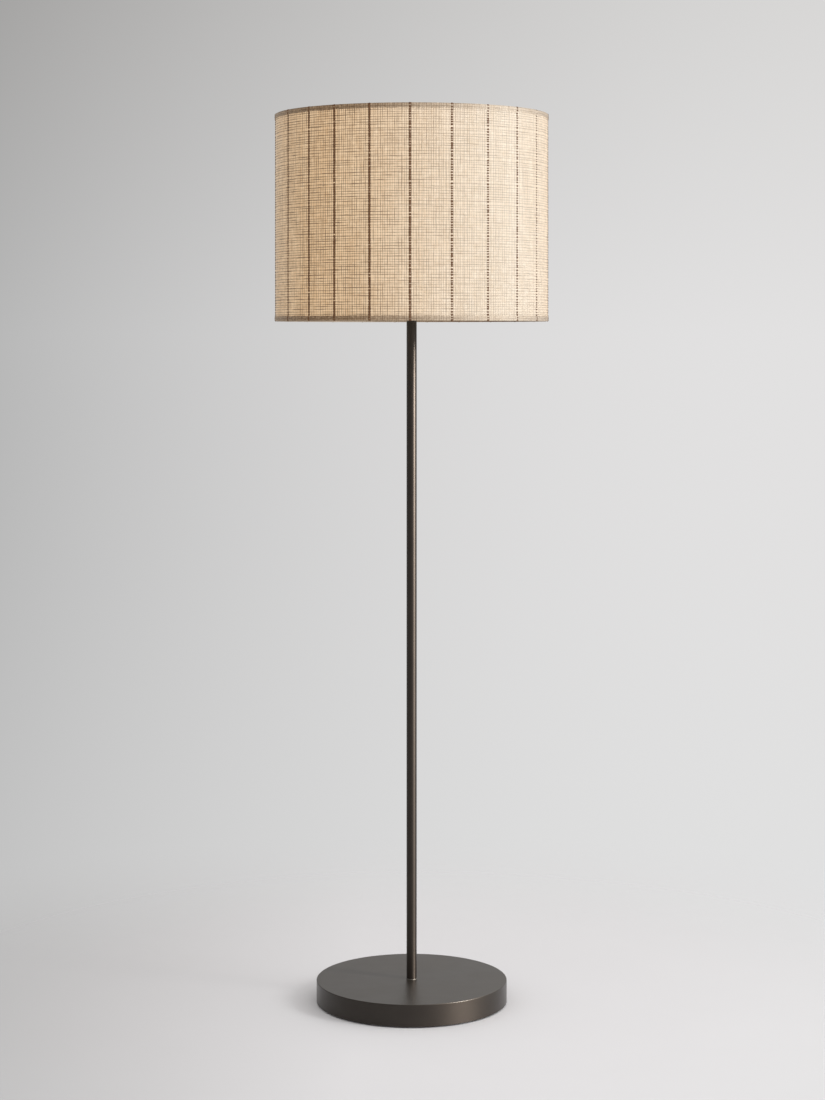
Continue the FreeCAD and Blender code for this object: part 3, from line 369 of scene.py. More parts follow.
class Effects:
    """The surface effects that several materials share, each a group that is built once."""

    def __init__(self) -> None:
        """Builds every group."""
        self.grain = new_group("Grain", {"Place": Kind.PLACE, "Size": 900.0}, self.draw_grain)
        self.brushed = new_group("Brushed", {"Place": Kind.PLACE, "Lines": 1200.0}, self.draw_brushed)
        self.wear = new_group("Wear", {"Place": Kind.PLACE, "Rubbing": 0.5, "Dusting": 0.5}, self.draw_wear)
        self.weave = new_group("Weave", {"Yarns": Kind.PLACE, "Gap Width": 0.42}, self.draw_weave)

    @staticmethod
    def draw_grain(canvas: Canvas, given: dict[str, Socket]) -> dict[str, Socket]:
        """Fine orange-peel of a sprayed or moulded skin: noise at two sizes, with larger patches and dots.

        Args:
            canvas: the group's canvas.
            given: its inputs.

        Returns:
            The relief's height, the tone of the patches, and the dots.
        """
        place, size = given["Place"], given["Size"]
        coarse = canvas.noise(place, size, 2.0, 0.55)
        fine = canvas.noise(place, canvas.times(size, 3.1), 1.0)
        patches = canvas.noise(place, 14.0, 3.0, 0.6)
        dots = canvas.add("TexVoronoi", {"Vector": place, "Scale": canvas.times(size, 0.8)})
        return {"Height": canvas.scaled(fine, 0.35, coarse),
                "Tone": canvas.spread(patches, 0.3, 0.7, smooth=True),
                "Fleck": canvas.spread(dots.outputs["Distance"], 0.32, 0.12)}

    @staticmethod
    def draw_brushed(canvas: Canvas, given: dict[str, Socket]) -> dict[str, Socket]:
        """Fine lines of turning or drawing: the place comes stretched, so that they run along one way.

        Args:
            canvas: the group's canvas.
            given: its inputs.

        Returns:
            The relief's height, and broad streaks.
        """
        fine = canvas.noise(given["Place"], given["Lines"], 3.0, 0.65)
        broad = canvas.noise(given["Place"], canvas.times(given["Lines"], 0.12))
        return {"Height": canvas.scaled(broad, 0.6, fine), "Streak": canvas.spread(broad, 0.35, 0.65)}

    @staticmethod
    def draw_wear(canvas: Canvas, given: dict[str, Socket]) -> dict[str, Socket]:
        """Handling marks and dust.

        Args:
            canvas: the group's canvas.
            given: its inputs.

        Returns:
            Rubbed patches, hairline scuffs, and the dust that lies on faces that look up.
        """
        place, rubbing = given["Place"], given["Rubbing"]
        limit = canvas.math("SUBTRACT", 0.78, canvas.times(rubbing, 0.3))
        patches = canvas.math("SUBTRACT", canvas.noise(place, 26.0, 5.0, 0.65), limit)
        lines = canvas.noise(canvas.stretch(place, (1.0, 0.16, 2.4)), 320.0, 4.0, 0.7)
        settled = canvas.spread(canvas.split(canvas.add("NewGeometry").outputs["Normal"])[2], 0.55, 0.98)
        specks = canvas.spread(canvas.noise(place, 480.0, 3.0, 0.6), 0.45, 0.7)
        veil = canvas.scaled(specks, 0.7, canvas.noise(place, 9.0, 3.0))
        return {"Rubbed": canvas.math("MULTIPLY", patches, 6.0, clamp=True),
                "Scuff": canvas.times(canvas.spread(lines, 0.66, 0.74), rubbing),
                "Dust": canvas.times(canvas.times(settled, veil), given["Dusting"])}

    @staticmethod
    def draw_weave(canvas: Canvas, given: dict[str, Socket]) -> dict[str, Socket]:
        """Plain weave of uneven yarns, in yarn counts: warps along x, wefts along y, gaps at whole numbers.

        Args:
            canvas: the group's canvas.
            given: its inputs.

        Returns:
            The relief's height, the gaps' lines, the holes where they cross (both masks for painted shade),
            the yarns' tone, and bands.
        """
        warp, weft = canvas.split(given["Yarns"])[:2]
        rounds, lines, opens, tones, cells = [], [], [], [], []
        for seed, (across, length) in enumerate(((warp, weft), (weft, warp))):
            slow = canvas.joined(canvas.times(across, 0.9), canvas.times(length, 0.22), 3.7 + seed)
            place = canvas.scaled(canvas.math("SUBTRACT", canvas.noise(slow, 1.0), 0.5), 0.36, across)
            cell = canvas.math("FLOOR", place)
            edge = canvas.math("ABSOLUTE", canvas.scaled(canvas.math("SUBTRACT", place, cell), 2.0, -1.0))
            line = canvas.times(canvas.math("ROUND", place), 7.31)
            line = canvas.joined(line, canvas.times(length, 0.11), 9.1 + seed)
            strength = canvas.spread(canvas.noise(line, 1.0, 2.0, 0.6), 0.36, 0.66)
            gap_shade_share = canvas.math("SUBTRACT", edge, canvas.math("SUBTRACT", 1.0, given["Gap Width"]))
            gap_shade_share = canvas.math("DIVIDE", gap_shade_share, given["Gap Width"], clamp=True)
            yarn = canvas.joined(canvas.times(cell, 3.17), canvas.times(length, 0.35), 1.3 + seed)
            rounds.append(canvas.math("SUBTRACT", 1.0, canvas.math("POWER", edge, 2.5)))
            lines.append(canvas.times(gap_shade_share, canvas.scaled(strength, 0.75, 0.25)))
            opens.append(gap_shade_share)
            tones.append(canvas.spread(canvas.noise(yarn, 1.0, 2.0, 0.6), 0.3, 0.7))
            cells.append(cell)
        over = canvas.spread(canvas.math("PINGPONG", canvas.math("ADD", *cells), 1.0), 0.2, 0.8)
        bands = canvas.noise(canvas.stretch(given["Yarns"], (0.085, 0.012, 1.0)), 1.0, 3.0, 0.6)
        return {"Height": canvas.times(canvas.times(*rounds), canvas.scaled(over, 0.25, 0.75)),
                "Gap": canvas.math("MAXIMUM", *lines), "Hole": canvas.times(*opens),
                "Tone": canvas.scaled(tones[0], canvas.scaled(over, 0.3, 0.4),
                                      canvas.times(tones[1], canvas.scaled(over, -0.3, 0.6))),
                "Band": canvas.spread(bands, 0.32, 0.68, smooth=True)}


effects = Effects()


# ---------------------------------------------------------------- finishes
@dataclass(frozen=True)
class Finish:
    """A surface finish, whose material is made once and laid on pieces."""

    name: str

    def paint(self, canvas: Canvas) -> Feeds:
        """Draws the finish's nodes.

        Args:
            canvas: the material's canvas.

        Returns:
            What its shader's sockets are fed.
        """
        raise NotImplementedError

    def lay_on(self, *pieces: Piece) -> None:
        """Gives pieces this finish as their only material.

        Args:
            pieces: new pieces or CAD nodes.
        """
        material = bpy.data.materials.get("finish_" + self.name)
        if material is None:
            material = bpy.data.materials.new("finish_" + self.name)
            canvas = Canvas.over(material)
            surface = canvas.add("BsdfPrincipled", self.paint(canvas))
            canvas.add("OutputMaterial", {"Surface": surface.outputs[0]})
        for piece in pieces:
            piece.data.materials.clear()
            piece.data.materials.append(material)


@dataclass(frozen=True)
class Coat(Finish):
    """Sprayed or moulded skin over a body: powder coat, epoxy, nylon, phenolic, opal or foam.

    A drawn one spreads its highlights along the lamp's axis on upright faces.
    """

    colour: Colour = (0.5, 0.5, 0.5, 1.0)
    shift: Colour = (0.4, 0.4, 0.4, 1.0)
    metal: float = 0.0
    roughness: float = 0.5
    uneven: float = 0.08
    grain_size: float = 900.0
    grain_depth: float = 0.00003
    rubbing: float = 0.3
    dusting: float = 0.3
    fleck: float = 0.0
    clear: float = 0.0
    glow_through: float = 0.0
    drawn: float = 0.0
    smoother_top: float = 0.0

    def paint(self, canvas: Canvas) -> Feeds:
        """Draws patchy colour, flecks, rubbed spots, dust and orange-peel.

        Args:
            canvas: the material's canvas.

        Returns:
            What its shader's sockets are fed.
        """
        place = canvas.here
        grain = canvas.group(effects.grain, Place=place, Size=self.grain_size)
        wear = canvas.group(effects.wear, Place=place, Rubbing=self.rubbing, Dusting=self.dusting)
        bright = (*(min(1.0, part * 2.1 + 0.02) for part in self.colour[:3]), 1.0)
        colour = canvas.blend(grain["Tone"], self.colour, self.shift)
        for mask, share, over in ((grain["Fleck"], self.fleck, bright), (wear["Scuff"], 0.25, bright),
                                  (wear["Dust"], 0.16, tint(176, 170, 160))):
            colour = canvas.blend(canvas.times(mask, share), colour, over)
        rough = canvas.scaled(grain["Tone"], self.uneven, self.roughness - self.uneven / 2)
        rough = canvas.scaled(wear["Rubbed"], -0.5 * self.uneven, rough)
        rough = canvas.scaled(wear["Dust"], 0.18, rough, clamp=True)
        feeds: Feeds = {"Metallic": self.metal, "Coat Weight": self.clear, "Coat Roughness": 0.3}
        if self.drawn:
            upward = canvas.split(canvas.add("NewGeometry").outputs["True Normal"])[2]
            level = canvas.spread(canvas.math("ABSOLUTE", upward), 0.2, 0.8)
            feeds["Anisotropic"] = canvas.spread(level, 0.0, 1.0, self.drawn, 0.0)
            feeds["Tangent"] = canvas.joined(0.0, 0.0, 1.0)
            rough = canvas.scaled(level, -self.smoother_top, rough)
        if self.glow_through:
            feeds |= {"Subsurface Weight": self.glow_through, "Subsurface Radius": (0.004, 0.004, 0.0035),
                      "Subsurface Scale": 1.0}
        return feeds | {"Base Color": colour, "Roughness": rough,
                        "Normal": canvas.bump(grain["Height"], self.grain_depth)}


@dataclass(frozen=True)
class BareMetal(Finish):
    """Turned, drawn or plated metal with its tool lines: zinc, steel, brass or nickel."""

    colour: Colour = (0.6, 0.6, 0.6, 1.0)
    stain: Colour = (0.4, 0.4, 0.4, 1.0)
    roughness: float = 0.3
    lines: float = 1400.0
    way: Triple = (0.04, 0.04, 1.0)

    def paint(self, canvas: Canvas) -> Feeds:
        """Draws tool lines, stains in patches and a little dust.

        Args:
            canvas: the material's canvas.

        Returns:
            What its shader's sockets are fed.
        """
        place = canvas.here
        lines = canvas.group(effects.brushed, Place=canvas.stretch(place, self.way), Lines=self.lines)
        wear = canvas.group(effects.wear, Place=place, Rubbing=0.7, Dusting=0.5)
        clouds = canvas.spread(canvas.noise(place, 70.0, 4.0, 0.6), 0.4, 0.72)
        colour = canvas.blend(clouds, self.colour, self.stain)
        colour = canvas.blend(canvas.times(lines["Streak"], 0.35), colour, self.stain)
        colour = canvas.blend(canvas.times(wear["Dust"], 0.15), colour, tint(170, 165, 156))
        rough = canvas.scaled(lines["Streak"], 0.12, self.roughness - 0.06)
        rough = canvas.scaled(clouds, 0.1, rough)
        rough = canvas.scaled(wear["Scuff"], 0.15, rough, clamp=True)
        return {"Base Color": colour, "Roughness": rough, "Metallic": 1.0,
                "Normal": canvas.bump(lines["Height"], 0.00001)}


@dataclass(frozen=True)
class CastConcrete(Finish):
    """Cast slab: grey paste with sand, pits painted dark as shade in them, and darker damp patches."""

    paste: Colour = tint(168, 164, 157)
    damp: Colour = tint(132, 128, 121)
    grains: Colour = tint(196, 190, 178)
    pit_shade: Colour = tint(72, 68, 63)

    def paint(self, canvas: Canvas) -> Feeds:
        """Draws paste, sand and pits.

        Args:
            canvas: the material's canvas.

        Returns:
            What its shader's sockets are fed.
        """
        place = canvas.here
        patches = canvas.noise(place, 22.0, 6.0, 0.65)
        sand = canvas.noise(place, 900.0, 3.0, 0.7)
        pits = canvas.add("TexVoronoi", {"Vector": place, "Scale": 150.0}).outputs["Distance"]
        holes = canvas.times(canvas.spread(pits, 0.2, 0.08), canvas.spread(sand, 0.4, 0.6))
        colour = canvas.blend(canvas.spread(patches, 0.35, 0.7), self.paste, self.damp)
        colour = canvas.blend(canvas.times(sand, 0.35), colour, self.grains)
        # painted shade: the pits are darkened
        return {"Base Color": canvas.blend(canvas.times(holes, 0.7), colour, self.pit_shade),
                "Roughness": canvas.spread(sand, 0.2, 0.8, 0.82, 0.96),
                "Normal": canvas.bump(canvas.scaled(holes, -2.0, sand), 0.0003)}


@dataclass(frozen=True)
class PressedPaper(Finish):
    """Insulating paper or stiff laminate: flat colour clouds and short pressed fibres."""

    colour: Colour = tint(172, 150, 118)
    shift: Colour = tint(150, 128, 98)
    fibre: Colour = tint(196, 178, 148)
    roughness: float = 0.85

    def paint(self, canvas: Canvas) -> Feeds:
        """Draws clouds and fibres lying both ways.

        Args:
            canvas: the material's canvas.

        Returns:
            What its shader's sockets are fed.
        """
        place = canvas.here
        clouds = canvas.noise(place, 30.0, 4.0, 0.6)
        flat = canvas.noise(canvas.stretch(place, (1.0, 1.0, 7.0)), 420.0, 4.0, 0.7)
        tall = canvas.noise(canvas.stretch(place, (6.0, 6.0, 1.0)), 300.0, 4.0, 0.7)
        fibres = canvas.math("MAXIMUM", canvas.spread(flat, 0.56, 0.72), canvas.spread(tall, 0.6, 0.76))
        colour = canvas.blend(canvas.spread(clouds, 0.3, 0.7), self.colour, self.shift)
        return {"Base Color": canvas.blend(canvas.times(fibres, 0.5), colour, self.fibre),
                "Roughness": canvas.spread(fibres, 0.0, 1.0, self.roughness, 0.95),
                "Normal": canvas.bump(fibres, 0.00008)}


@dataclass(frozen=True)
class LinenCloth(Finish):
    """Coarse natural cloth: light yarns, tan yarns, dark gaps, and a fuzz of fine fibres.

    In two broad regions of the turn the gaps are painted darker and the yarns a warmer tan, as painted shade
    for the side away from the lamps: the first lies at one warp, and the next so many warps on. On a hem
    those regions also get painted shade as a whole, broken into tufts.
    """

    light: Colour = tint(230, 218, 202)
    tan: Colour = tint(214, 197, 175)
    # warmer colours of the painted shaded side
    shaded_side_light: Colour = tint(250, 220, 181)
    shaded_side_tan: Colour = tint(222, 186, 143)
    # painted shade: dark gaps between the yarns, and darker holes where gaps cross
    gap_shade: Colour = tint(72, 46, 25)
    hole_shade: Colour = tint(46, 28, 14)
    hem_shade_colour: Colour = tint(100, 77, 53)
    shade_every: float = 184.0
    shade_at: float = 133.0
    shade_least: float = 0.45
    painted_hem_shade: bool = False

    def paint(self, canvas: Canvas) -> Feeds:
        """Draws the weave in yarn counts, its regions of painted shade, bands of tone, fuzz and a soft sheen.

        Args:
            canvas: the material's canvas.

        Returns:
            What its shader's sockets are fed.
        """
        yarns = canvas.add("UVMap", uv_map="Yarns").outputs[0]
        # painted shade: a cosine over the warps marks the side away from the lamps, and again so many warps
        # on
        turn = canvas.scaled(canvas.split(yarns)[0], TURN / self.shade_every,
                             -TURN * self.shade_at / self.shade_every)
        shaded_side = canvas.scaled(canvas.math("COSINE", turn), 0.5, 0.5)
        gap_shade_share = canvas.scaled(shaded_side, 1 - self.shade_least, self.shade_least)
        weave = canvas.group(effects.weave, Yarns=yarns, Gap_Width=0.58)
        tone = canvas.scaled(weave["Band"], 0.35, canvas.times(weave["Tone"], 0.75), clamp=True)
        tan = canvas.blend(shaded_side, self.tan, self.shaded_side_tan)
        colour = canvas.blend(tone, canvas.blend(shaded_side, self.light, self.shaded_side_light), tan)
        fibres = canvas.noise(canvas.stretch(yarns, (7.0, 2.2, 1.0)), 1.0, 4.0, 0.7)
        colour = canvas.blend(canvas.spread(fibres, 0.45, 0.75, 0.0, 0.35), colour, tan)
        # painted shade between the yarns, darker where gaps cross and deeper on the painted shaded side
        colour = canvas.blend(canvas.times(weave["Gap"], gap_shade_share), colour, self.gap_shade)
        colour = canvas.blend(canvas.times(canvas.times(weave["Hole"], gap_shade_share), 0.85), colour, self.hole_shade)
        # painted shade on the hem, broken into tufts and strongest on the painted shaded side
        if self.painted_hem_shade:
            tufts = canvas.noise(canvas.stretch(yarns, (0.8, 1.3, 1.0)), 1.0, 3.0, 0.7)
            share = canvas.scaled(canvas.spread(tufts, 0.3, 0.7), 0.85, 0.32)
            where = canvas.math("POWER", shaded_side, 0.6)
            colour = canvas.blend(canvas.math("MULTIPLY", share, where, clamp=True), colour, self.hem_shade_colour)
        height = canvas.scaled(fibres, 0.3, weave["Height"])
        return {"Base Color": colour, "Roughness": canvas.spread(fibres, 0.2, 0.8, 0.82, 0.98),
                "Sheen Weight": 0.35, "Sheen Roughness": 0.45, "Sheen Tint": tint(255, 252, 247),
                "Specular IOR Level": 0.25, "Normal": canvas.bump(height, 0.0006, 0.8)}


@dataclass(frozen=True)
class StripeYarn(Finish):
    """Dark brown plied yarn: twist lines across it and lighter loose fibres."""

    dark: Colour = tint(84, 54, 30)
    lighter: Colour = tint(126, 90, 56)

    def paint(self, canvas: Canvas) -> Feeds:
        """Draws the ply's twist along the yarn's length and its fibres.

        Args:
            canvas: the material's canvas.

        Returns:
            What its shader's sockets are fed.
        """
        yarns = canvas.add("UVMap", uv_map="Yarns").outputs[0]
        parts = canvas.split(yarns)
        ply = canvas.math("PINGPONG", canvas.scaled(parts[1], 2.4, parts[0]), 0.5)
        fibres = canvas.noise(canvas.stretch(yarns, (5.0, 1.6, 1.0)), 1.0, 4.0, 0.7)
        light = canvas.spread(canvas.scaled(ply, 0.7, fibres), 0.55, 1.05)
        return {"Base Color": canvas.blend(light, self.dark, self.lighter),
                "Roughness": canvas.spread(fibres, 0.2, 0.8, 0.78, 0.95),
                "Sheen Weight": 0.1, "Sheen Roughness": 0.5, "Specular IOR Level": 0.25,
                "Normal": canvas.bump(canvas.scaled(ply, 0.8, fibres), 0.0002)}


BRONZE = Coat("bronze", colour=(0.039, 0.032, 0.026, 1.0), shift=(0.034, 0.027, 0.022, 1.0), metal=0.92,
              uneven=0.03, clear=0.38, grain_size=1500.0, grain_depth=0.0000055, rubbing=0.25, dusting=0.6,
              fleck=0.12)
BRONZE_TUBE = replace(BRONZE, name="bronze_tube", colour=(0.050, 0.041, 0.034, 1.0),
                      shift=(0.044, 0.036, 0.030, 1.0), roughness=0.44, clear=0.1, grain_depth=0.000003,
                      drawn=0.64)
BRONZE_COVER = replace(BRONZE, name="bronze_cover", drawn=0.64, smoother_top=0.13)
WHITE_WIRE = Coat("white_wire", colour=tint(232, 228, 218), shift=tint(222, 217, 205), roughness=0.42,
                  grain_size=1400.0, grain_depth=0.00002)
BLACK_NYLON = Coat("black_nylon", colour=tint(34, 34, 35), shift=tint(46, 45, 44), roughness=0.55,
                   grain_size=1900.0, fleck=0.1)
PHENOLIC = Coat("phenolic", colour=tint(58, 40, 30), shift=tint(44, 30, 23), roughness=0.28, uneven=0.06,
                grain_size=600.0, grain_depth=0.00001, clear=0.35, fleck=0.18)
FOAM = Coat("foam", colour=tint(52, 51, 50), shift=tint(40, 39, 38), roughness=0.92, grain_size=1300.0,
            grain_depth=0.00012, dusting=0.1, fleck=0.3)
OPAL = Coat("opal", colour=tint(240, 238, 231), shift=tint(235, 232, 224), roughness=0.36, uneven=0.05,
            grain_size=700.0, grain_depth=0.000008, glow_through=0.35)
WHITE_MOULDING = Coat("white_moulding", colour=tint(236, 234, 228), shift=tint(228, 225, 218), roughness=0.38,
                      grain_size=1200.0, grain_depth=0.000015)
DARK_GLASS = Coat("dark_glass", colour=tint(38, 36, 44), shift=tint(22, 21, 27), roughness=0.12, uneven=0.04,
                  grain_size=300.0, grain_depth=0.00001, clear=0.5)
ZINC = BareMetal("zinc", colour=tint(196, 198, 197), stain=tint(150, 152, 153), roughness=0.34, lines=900.0,
                 way=(1.0, 0.3, 0.3))
TURNED_STEEL = BareMetal("turned_steel", colour=tint(212, 210, 206), stain=tint(160, 157, 152),
                         roughness=0.2)
DULL_STEEL = BareMetal("dull_steel", colour=tint(150, 146, 139), stain=tint(112, 108, 102), roughness=0.36)
BRASS = BareMetal("brass", colour=tint(214, 178, 112), stain=tint(172, 136, 80), lines=1100.0)
NICKEL = BareMetal("nickel", colour=tint(206, 203, 196), stain=tint(160, 156, 148), roughness=0.27)
CONCRETE = CastConcrete("concrete")
SLEEVE_PAPER = PressedPaper("sleeve_paper")
LAMINATE = PressedPaper("laminate", colour=tint(236, 229, 213), shift=tint(228, 219, 200),
                        fibre=tint(243, 238, 226), roughness=0.7)
CLOTH = LinenCloth("cloth")
# darker copy of the cloth: painted shade on the rolled hems
SHADED_HEM_CLOTH = LinenCloth("shaded_hem_cloth", light=tint(219, 206, 189), tan=tint(202, 184, 162),
                       shaded_side_light=tint(214, 188, 156), shaded_side_tan=tint(188, 158, 124), painted_hem_shade=True)
STRIPE = StripeYarn("stripe_yarn")


# ---------------------------------------------------------------- sub-assemblies
def smooth_curves() -> Tree:
    """The geometry group that shades curved faces smooth and keeps edges over 32 degrees sharp.

    Returns:
        The group, made at the first call.
    """
    tree = bpy.data.node_groups.get("Smooth Curves")
    if tree is None:
        tree = bpy.data.node_groups.new("Smooth Curves", "GeometryNodeTree")
        for way in ("INPUT", "OUTPUT"):
            tree.interface.new_socket("Geometry", in_out=way, socket_type="NodeSocketGeometry")
        source, faces, edges, angle, limit, drain = (tree.nodes.new(kind) for kind in (
            "NodeGroupInput", "GeometryNodeSetShadeSmooth", "GeometryNodeSetShadeSmooth",
            "GeometryNodeInputMeshEdgeAngle", "FunctionNodeCompare", "NodeGroupOutput"))
        edges.domain = "EDGE"
        edges.inputs["Shade Smooth"].default_value = False
        limit.inputs[1].default_value = math.radians(32)
        for start, end in ((source, faces.inputs["Geometry"]), (angle, limit.inputs[0]),
                           (faces, edges.inputs["Geometry"]), (limit, edges.inputs["Selection"]),
                           (edges, drain.inputs[0])):
            tree.links.new(start.outputs[0], end)
    return tree


def fit_out(piece: Piece, finish: Finish, body: str, slot: str, *nodes: str) -> Piece:
    """Finishes a new piece, hangs it on its body, and hides the CAD nodes that it stands for.

    Args:
        piece: the piece.
        finish: its finish.
        body: its body.
        slot: not used.
        nodes: the CAD nodes that it replaces.

    Returns:
        The piece.
    """
    finish.lay_on(piece)
    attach(piece, body)
    if nodes:
        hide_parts(*nodes)
    return piece


def tall(node: str) -> tuple[float, float]:
    """Lowest and highest point of a CAD node, in millimetres."""
    low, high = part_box(node)
    return low.z / MM, high.z / MM


class Assembly:
    """A sub-assembly: CAD nodes with their finishes, and finer pieces that stand for the others."""

    nodes: ClassVar[dict[Finish, tuple[str, ...]]] = {}

    def build(self) -> list[Piece]:
        """Makes no new piece, where a sub-assembly has none."""
        return []

    def dress(self) -> None:
        """Finishes the CAD nodes, joins their loose triangles and rounds their look."""
        for finish, names in self.nodes.items():
            for name in names:
                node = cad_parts[name]
                finish.lay_on(node)
                node.modifiers.new("Join", "WELD").merge_threshold = 1e-6
                node.modifiers.new("Smooth", "NODES").node_group = smooth_curves()
                node.modifiers.new("Flats", "WEIGHTED_NORMAL").keep_sharp = True
                log.info("%s: %s", name, finish.name)


@dataclass(frozen=True)
class ThreadedTube:
    """Hollow steel tube with a fine thread along its outside and chamfered ends."""

    radius: float = 4.85
    bore: float = 3.2
    chamfer: float = 0.6
    depth: float = 0.45

    def build(self, name: str, node: str) -> Piece:
        """Makes the tube in the place of a CAD node.

        Args:
            name: the piece's name.
            node: the CAD node whose height it has.

        Returns:
            The tube.
        """
        low, high = tall(node)
        radius, cut = self.radius, self.chamfer
        outside = along((radius - cut, low), (radius, low + cut), (radius, high - cut), (radius - cut, high),
                        step=TUBE_PITCH / 5)
        profile = np.concatenate([outside, [(self.bore, high), (self.bore, low)]])
        thread = Thread(TUBE_PITCH, self.depth, low, high, inside=(radius + self.bore) / 2)
        tube = turned(name, profile, steps=48, wave=thread, crease=50)
        return fit_out(tube, ZINC, "stand", "zinc", node)


@dataclass
class Foot(Assembly):
    """The weighted foot: spun cover, slab, plate, foam ring, cord bushing and the column's fastening."""

    nodes = {BRONZE_COVER: ("foot_cover",), CONCRETE: ("foot_weight",), BRASS: ("weight_inserts",),
             ZINC: ("foot_plate", "plate_screws", "clamp_washer", "tooth_washer", "foot_nut"),
             BLACK_NYLON: ("cord_bushing",), DULL_STEEL: ("seat_ring",)}
    pad_outer: float = 167.0
    pad_inner: float = 77.0
    pad_thick: float = 3.0
    pad_edge: float = 1.1

    def build(self) -> list[Piece]:
        """Makes the foam ring and the threaded tube."""
        foam = fit_out(self.foam_ring(), FOAM, "stand", "foam", "floor_pad")
        return [foam, ThreadedTube().build("foot_tube", "foot_pipe")]

    def foam_ring(self) -> Piece:
        """Flat ring whose edges bulge by a power of the sine of their height, with a level underside.

        Returns:
            The ring.
        """
        outer, inner, thick, edge = self.pad_outer, self.pad_inner, self.pad_thick, self.pad_edge
        share = np.linspace(0, 1, 12)[1:]
        bulge = np.minimum(1.0, np.sin(math.pi * share) ** 0.7 + share * 0.6)
        right = np.stack([outer - edge + edge * bulge, share * thick], axis=-1)
        left = np.stack([inner + outer - right[::-1, 0], right[::-1, 1]], axis=-1)[1:]
        floor = along((inner + edge, 0.0), (outer - edge, 0.0), step=6.0)
        top = along((outer, thick), (inner, thick), step=6.0)[1:]
        return turned("foam_ring", np.concatenate([floor, right, top, left]), steps=180)


@dataclass
class Column(Assembly):
    """The tube with its plugs and neck ring, and the upper threaded tube."""

    nodes = {BRONZE_TUBE: ("column",), BRONZE: ("neck_ring",),
             TURNED_STEEL: ("column_foot_plug", "column_top_plug")}

    def build(self) -> list[Piece]:
        """Makes the upper threaded tube."""
        return [ThreadedTube().build("neck_tube", "neck_pipe")]


@dataclass
class HarpCradle(Assembly):
    """Saddle, harp, sliding ferrules and the swivelling stud."""

    nodes = {BRONZE: ("saddle", "saddle_lock_nut", "harp", "ferrule_left", "ferrule_right")}
    stud_radius: float = 3.1
    shank_radius: float = 2.6
    flange_radius: float = 7.0
    flange_thick: float = 1.6
    flange_round: float = 0.3
    rivet_radius: float = 4.4
    rivet_thick: float = 1.2
    stud_rise: float = 12.0
    chamfer: float = 0.6
    thread_depth: float = 0.45

    def build(self) -> list[Piece]:
        """Makes the stud with its thread: rivet, shank, flange and threaded end as one turned profile.

        Returns:
            The new piece.
        """
        low, high = tall("swivel_stud")
        seat, rivet, cut = high - self.stud_rise, low + self.rivet_thick, self.chamfer
        crest, shank, flange = self.stud_radius, self.shank_radius, self.flange_radius
        soft, under = self.flange_round, seat - self.flange_thick
        profile = np.concatenate([
            along((0.0, low), (self.rivet_radius - cut, low), (self.rivet_radius, low + cut),
                  (self.rivet_radius, rivet), (shank, rivet), (shank, under), (flange - soft, under),
                  (flange, under + soft), (flange, seat - soft), (flange - soft, seat), (crest, seat),
                  step=1.0),
            along((crest, seat), (crest, high - cut), (crest - cut, high), step=TUBE_PITCH / 5)[1:],
            [(0.0, high)],
        ])
        thread = Thread(TUBE_PITCH, self.thread_depth, seat + 0.2, high + 0.3)
        stud = turned("stud", profile, steps=40, wave=thread, crease=50)
        return [fit_out(stud, BRASS, "shade", "brass", "swivel_stud")]


@dataclass
class LampHolder(Assembly):
    """Cap, shell, insulating sleeve, moulded body with its contacts, and the turn switch."""

    nodes = {BRASS: ("holder_cap", "holder_shell", "switch_leaf", "terminal_screws", "shell_rivets",
                     "centre_contact", "switch_shaft"),
             ZINC: ("cap_set_screw",), SLEEVE_PAPER: ("holder_sleeve",),
             PHENOLIC: ("holder_body", "switch_rotor", "switch_knob")}
    shell_inner: float = 13.35
    shell_wall: float = 0.4
    eye: float = 5.2
    corner: float = 1.0
    thread_depth: float = 0.22

    def build(self) -> list[Piece]:
        """Makes the screw shell with its rolled thread: floor, rounded corner and wall, inside and out.

        Returns:
            The new piece.
        """
        low, high = tall("screw_shell")
        inner, wall, bend, step = self.shell_inner, self.shell_wall, self.corner, CAP_PITCH / 10
        outer = inner + wall
        middle = (outer - bend, low + bend)
        profile = np.concatenate([
            along((self.eye, low), (outer - bend, low), step=2.0)[:-1],
            arc(middle, bend, -90, 0, 7),
            along((outer, low + bend), (outer, high), step=step)[1:],
            along((inner, high), (inner, low + bend), step=step)[:-1],
            arc(middle, bend - wall, 0, -90, 7),
            along((outer - bend, low + wall), (self.eye, low + wall), step=2.0)[1:],
        ])
        thread = Thread(CAP_PITCH, self.thread_depth, low + 2.0, high - 0.5, inside=inner - 0.1)
        shell = turned("screw_shell_rolled", profile, steps=72, wave=thread)
        return [fit_out(shell, BRASS, "stand", "brass", "screw_shell")]


@dataclass
class Bulb(Assembly):
    """Opal lamp bulb with its rolled screw cap."""

    nodes = {NICKEL: ("bulb_tip",), DARK_GLASS: ("bulb_insulator",), OPAL: ("bulb_globe",),
             WHITE_MOULDING: ("bulb_collar", "bulb_board")}
    cap_radius: float = 13.05
    cap_wall: float = 0.35
    end_radius: float = 11.0
    slope: float = 2.2
    thread_depth: float = 0.85

    def build(self) -> list[Piece]:
        """Makes the screw cap with its rolled thread: end, slope and wall, outside and in.

        Returns:
            The new piece.
        """
        low, high = tall("bulb_screw_cap")
        outer, wall, end, step = self.cap_radius, self.cap_wall, self.end_radius, CAP_PITCH / 10
        inner, start = outer - wall, low + self.slope
        profile = np.concatenate([
            along((0.0, low), (end, low), (outer, start), step=1.0),
            along((outer, start), (outer, high), step=step)[1:],
            along((inner, high), (inner, start + wall / 2), step=step),
            along((end - wall / 2, low + wall), (0.0, low + wall), step=1.0),
        ])
        thread = Thread(CAP_PITCH, self.thread_depth, low + 1.0, high - 1.0, inside=end + 1.2)
        cap = turned("bulb_cap_rolled", profile, steps=72, wave=thread)
        return [fit_out(cap, NICKEL, "bulb", "nickel", "bulb_screw_cap")]


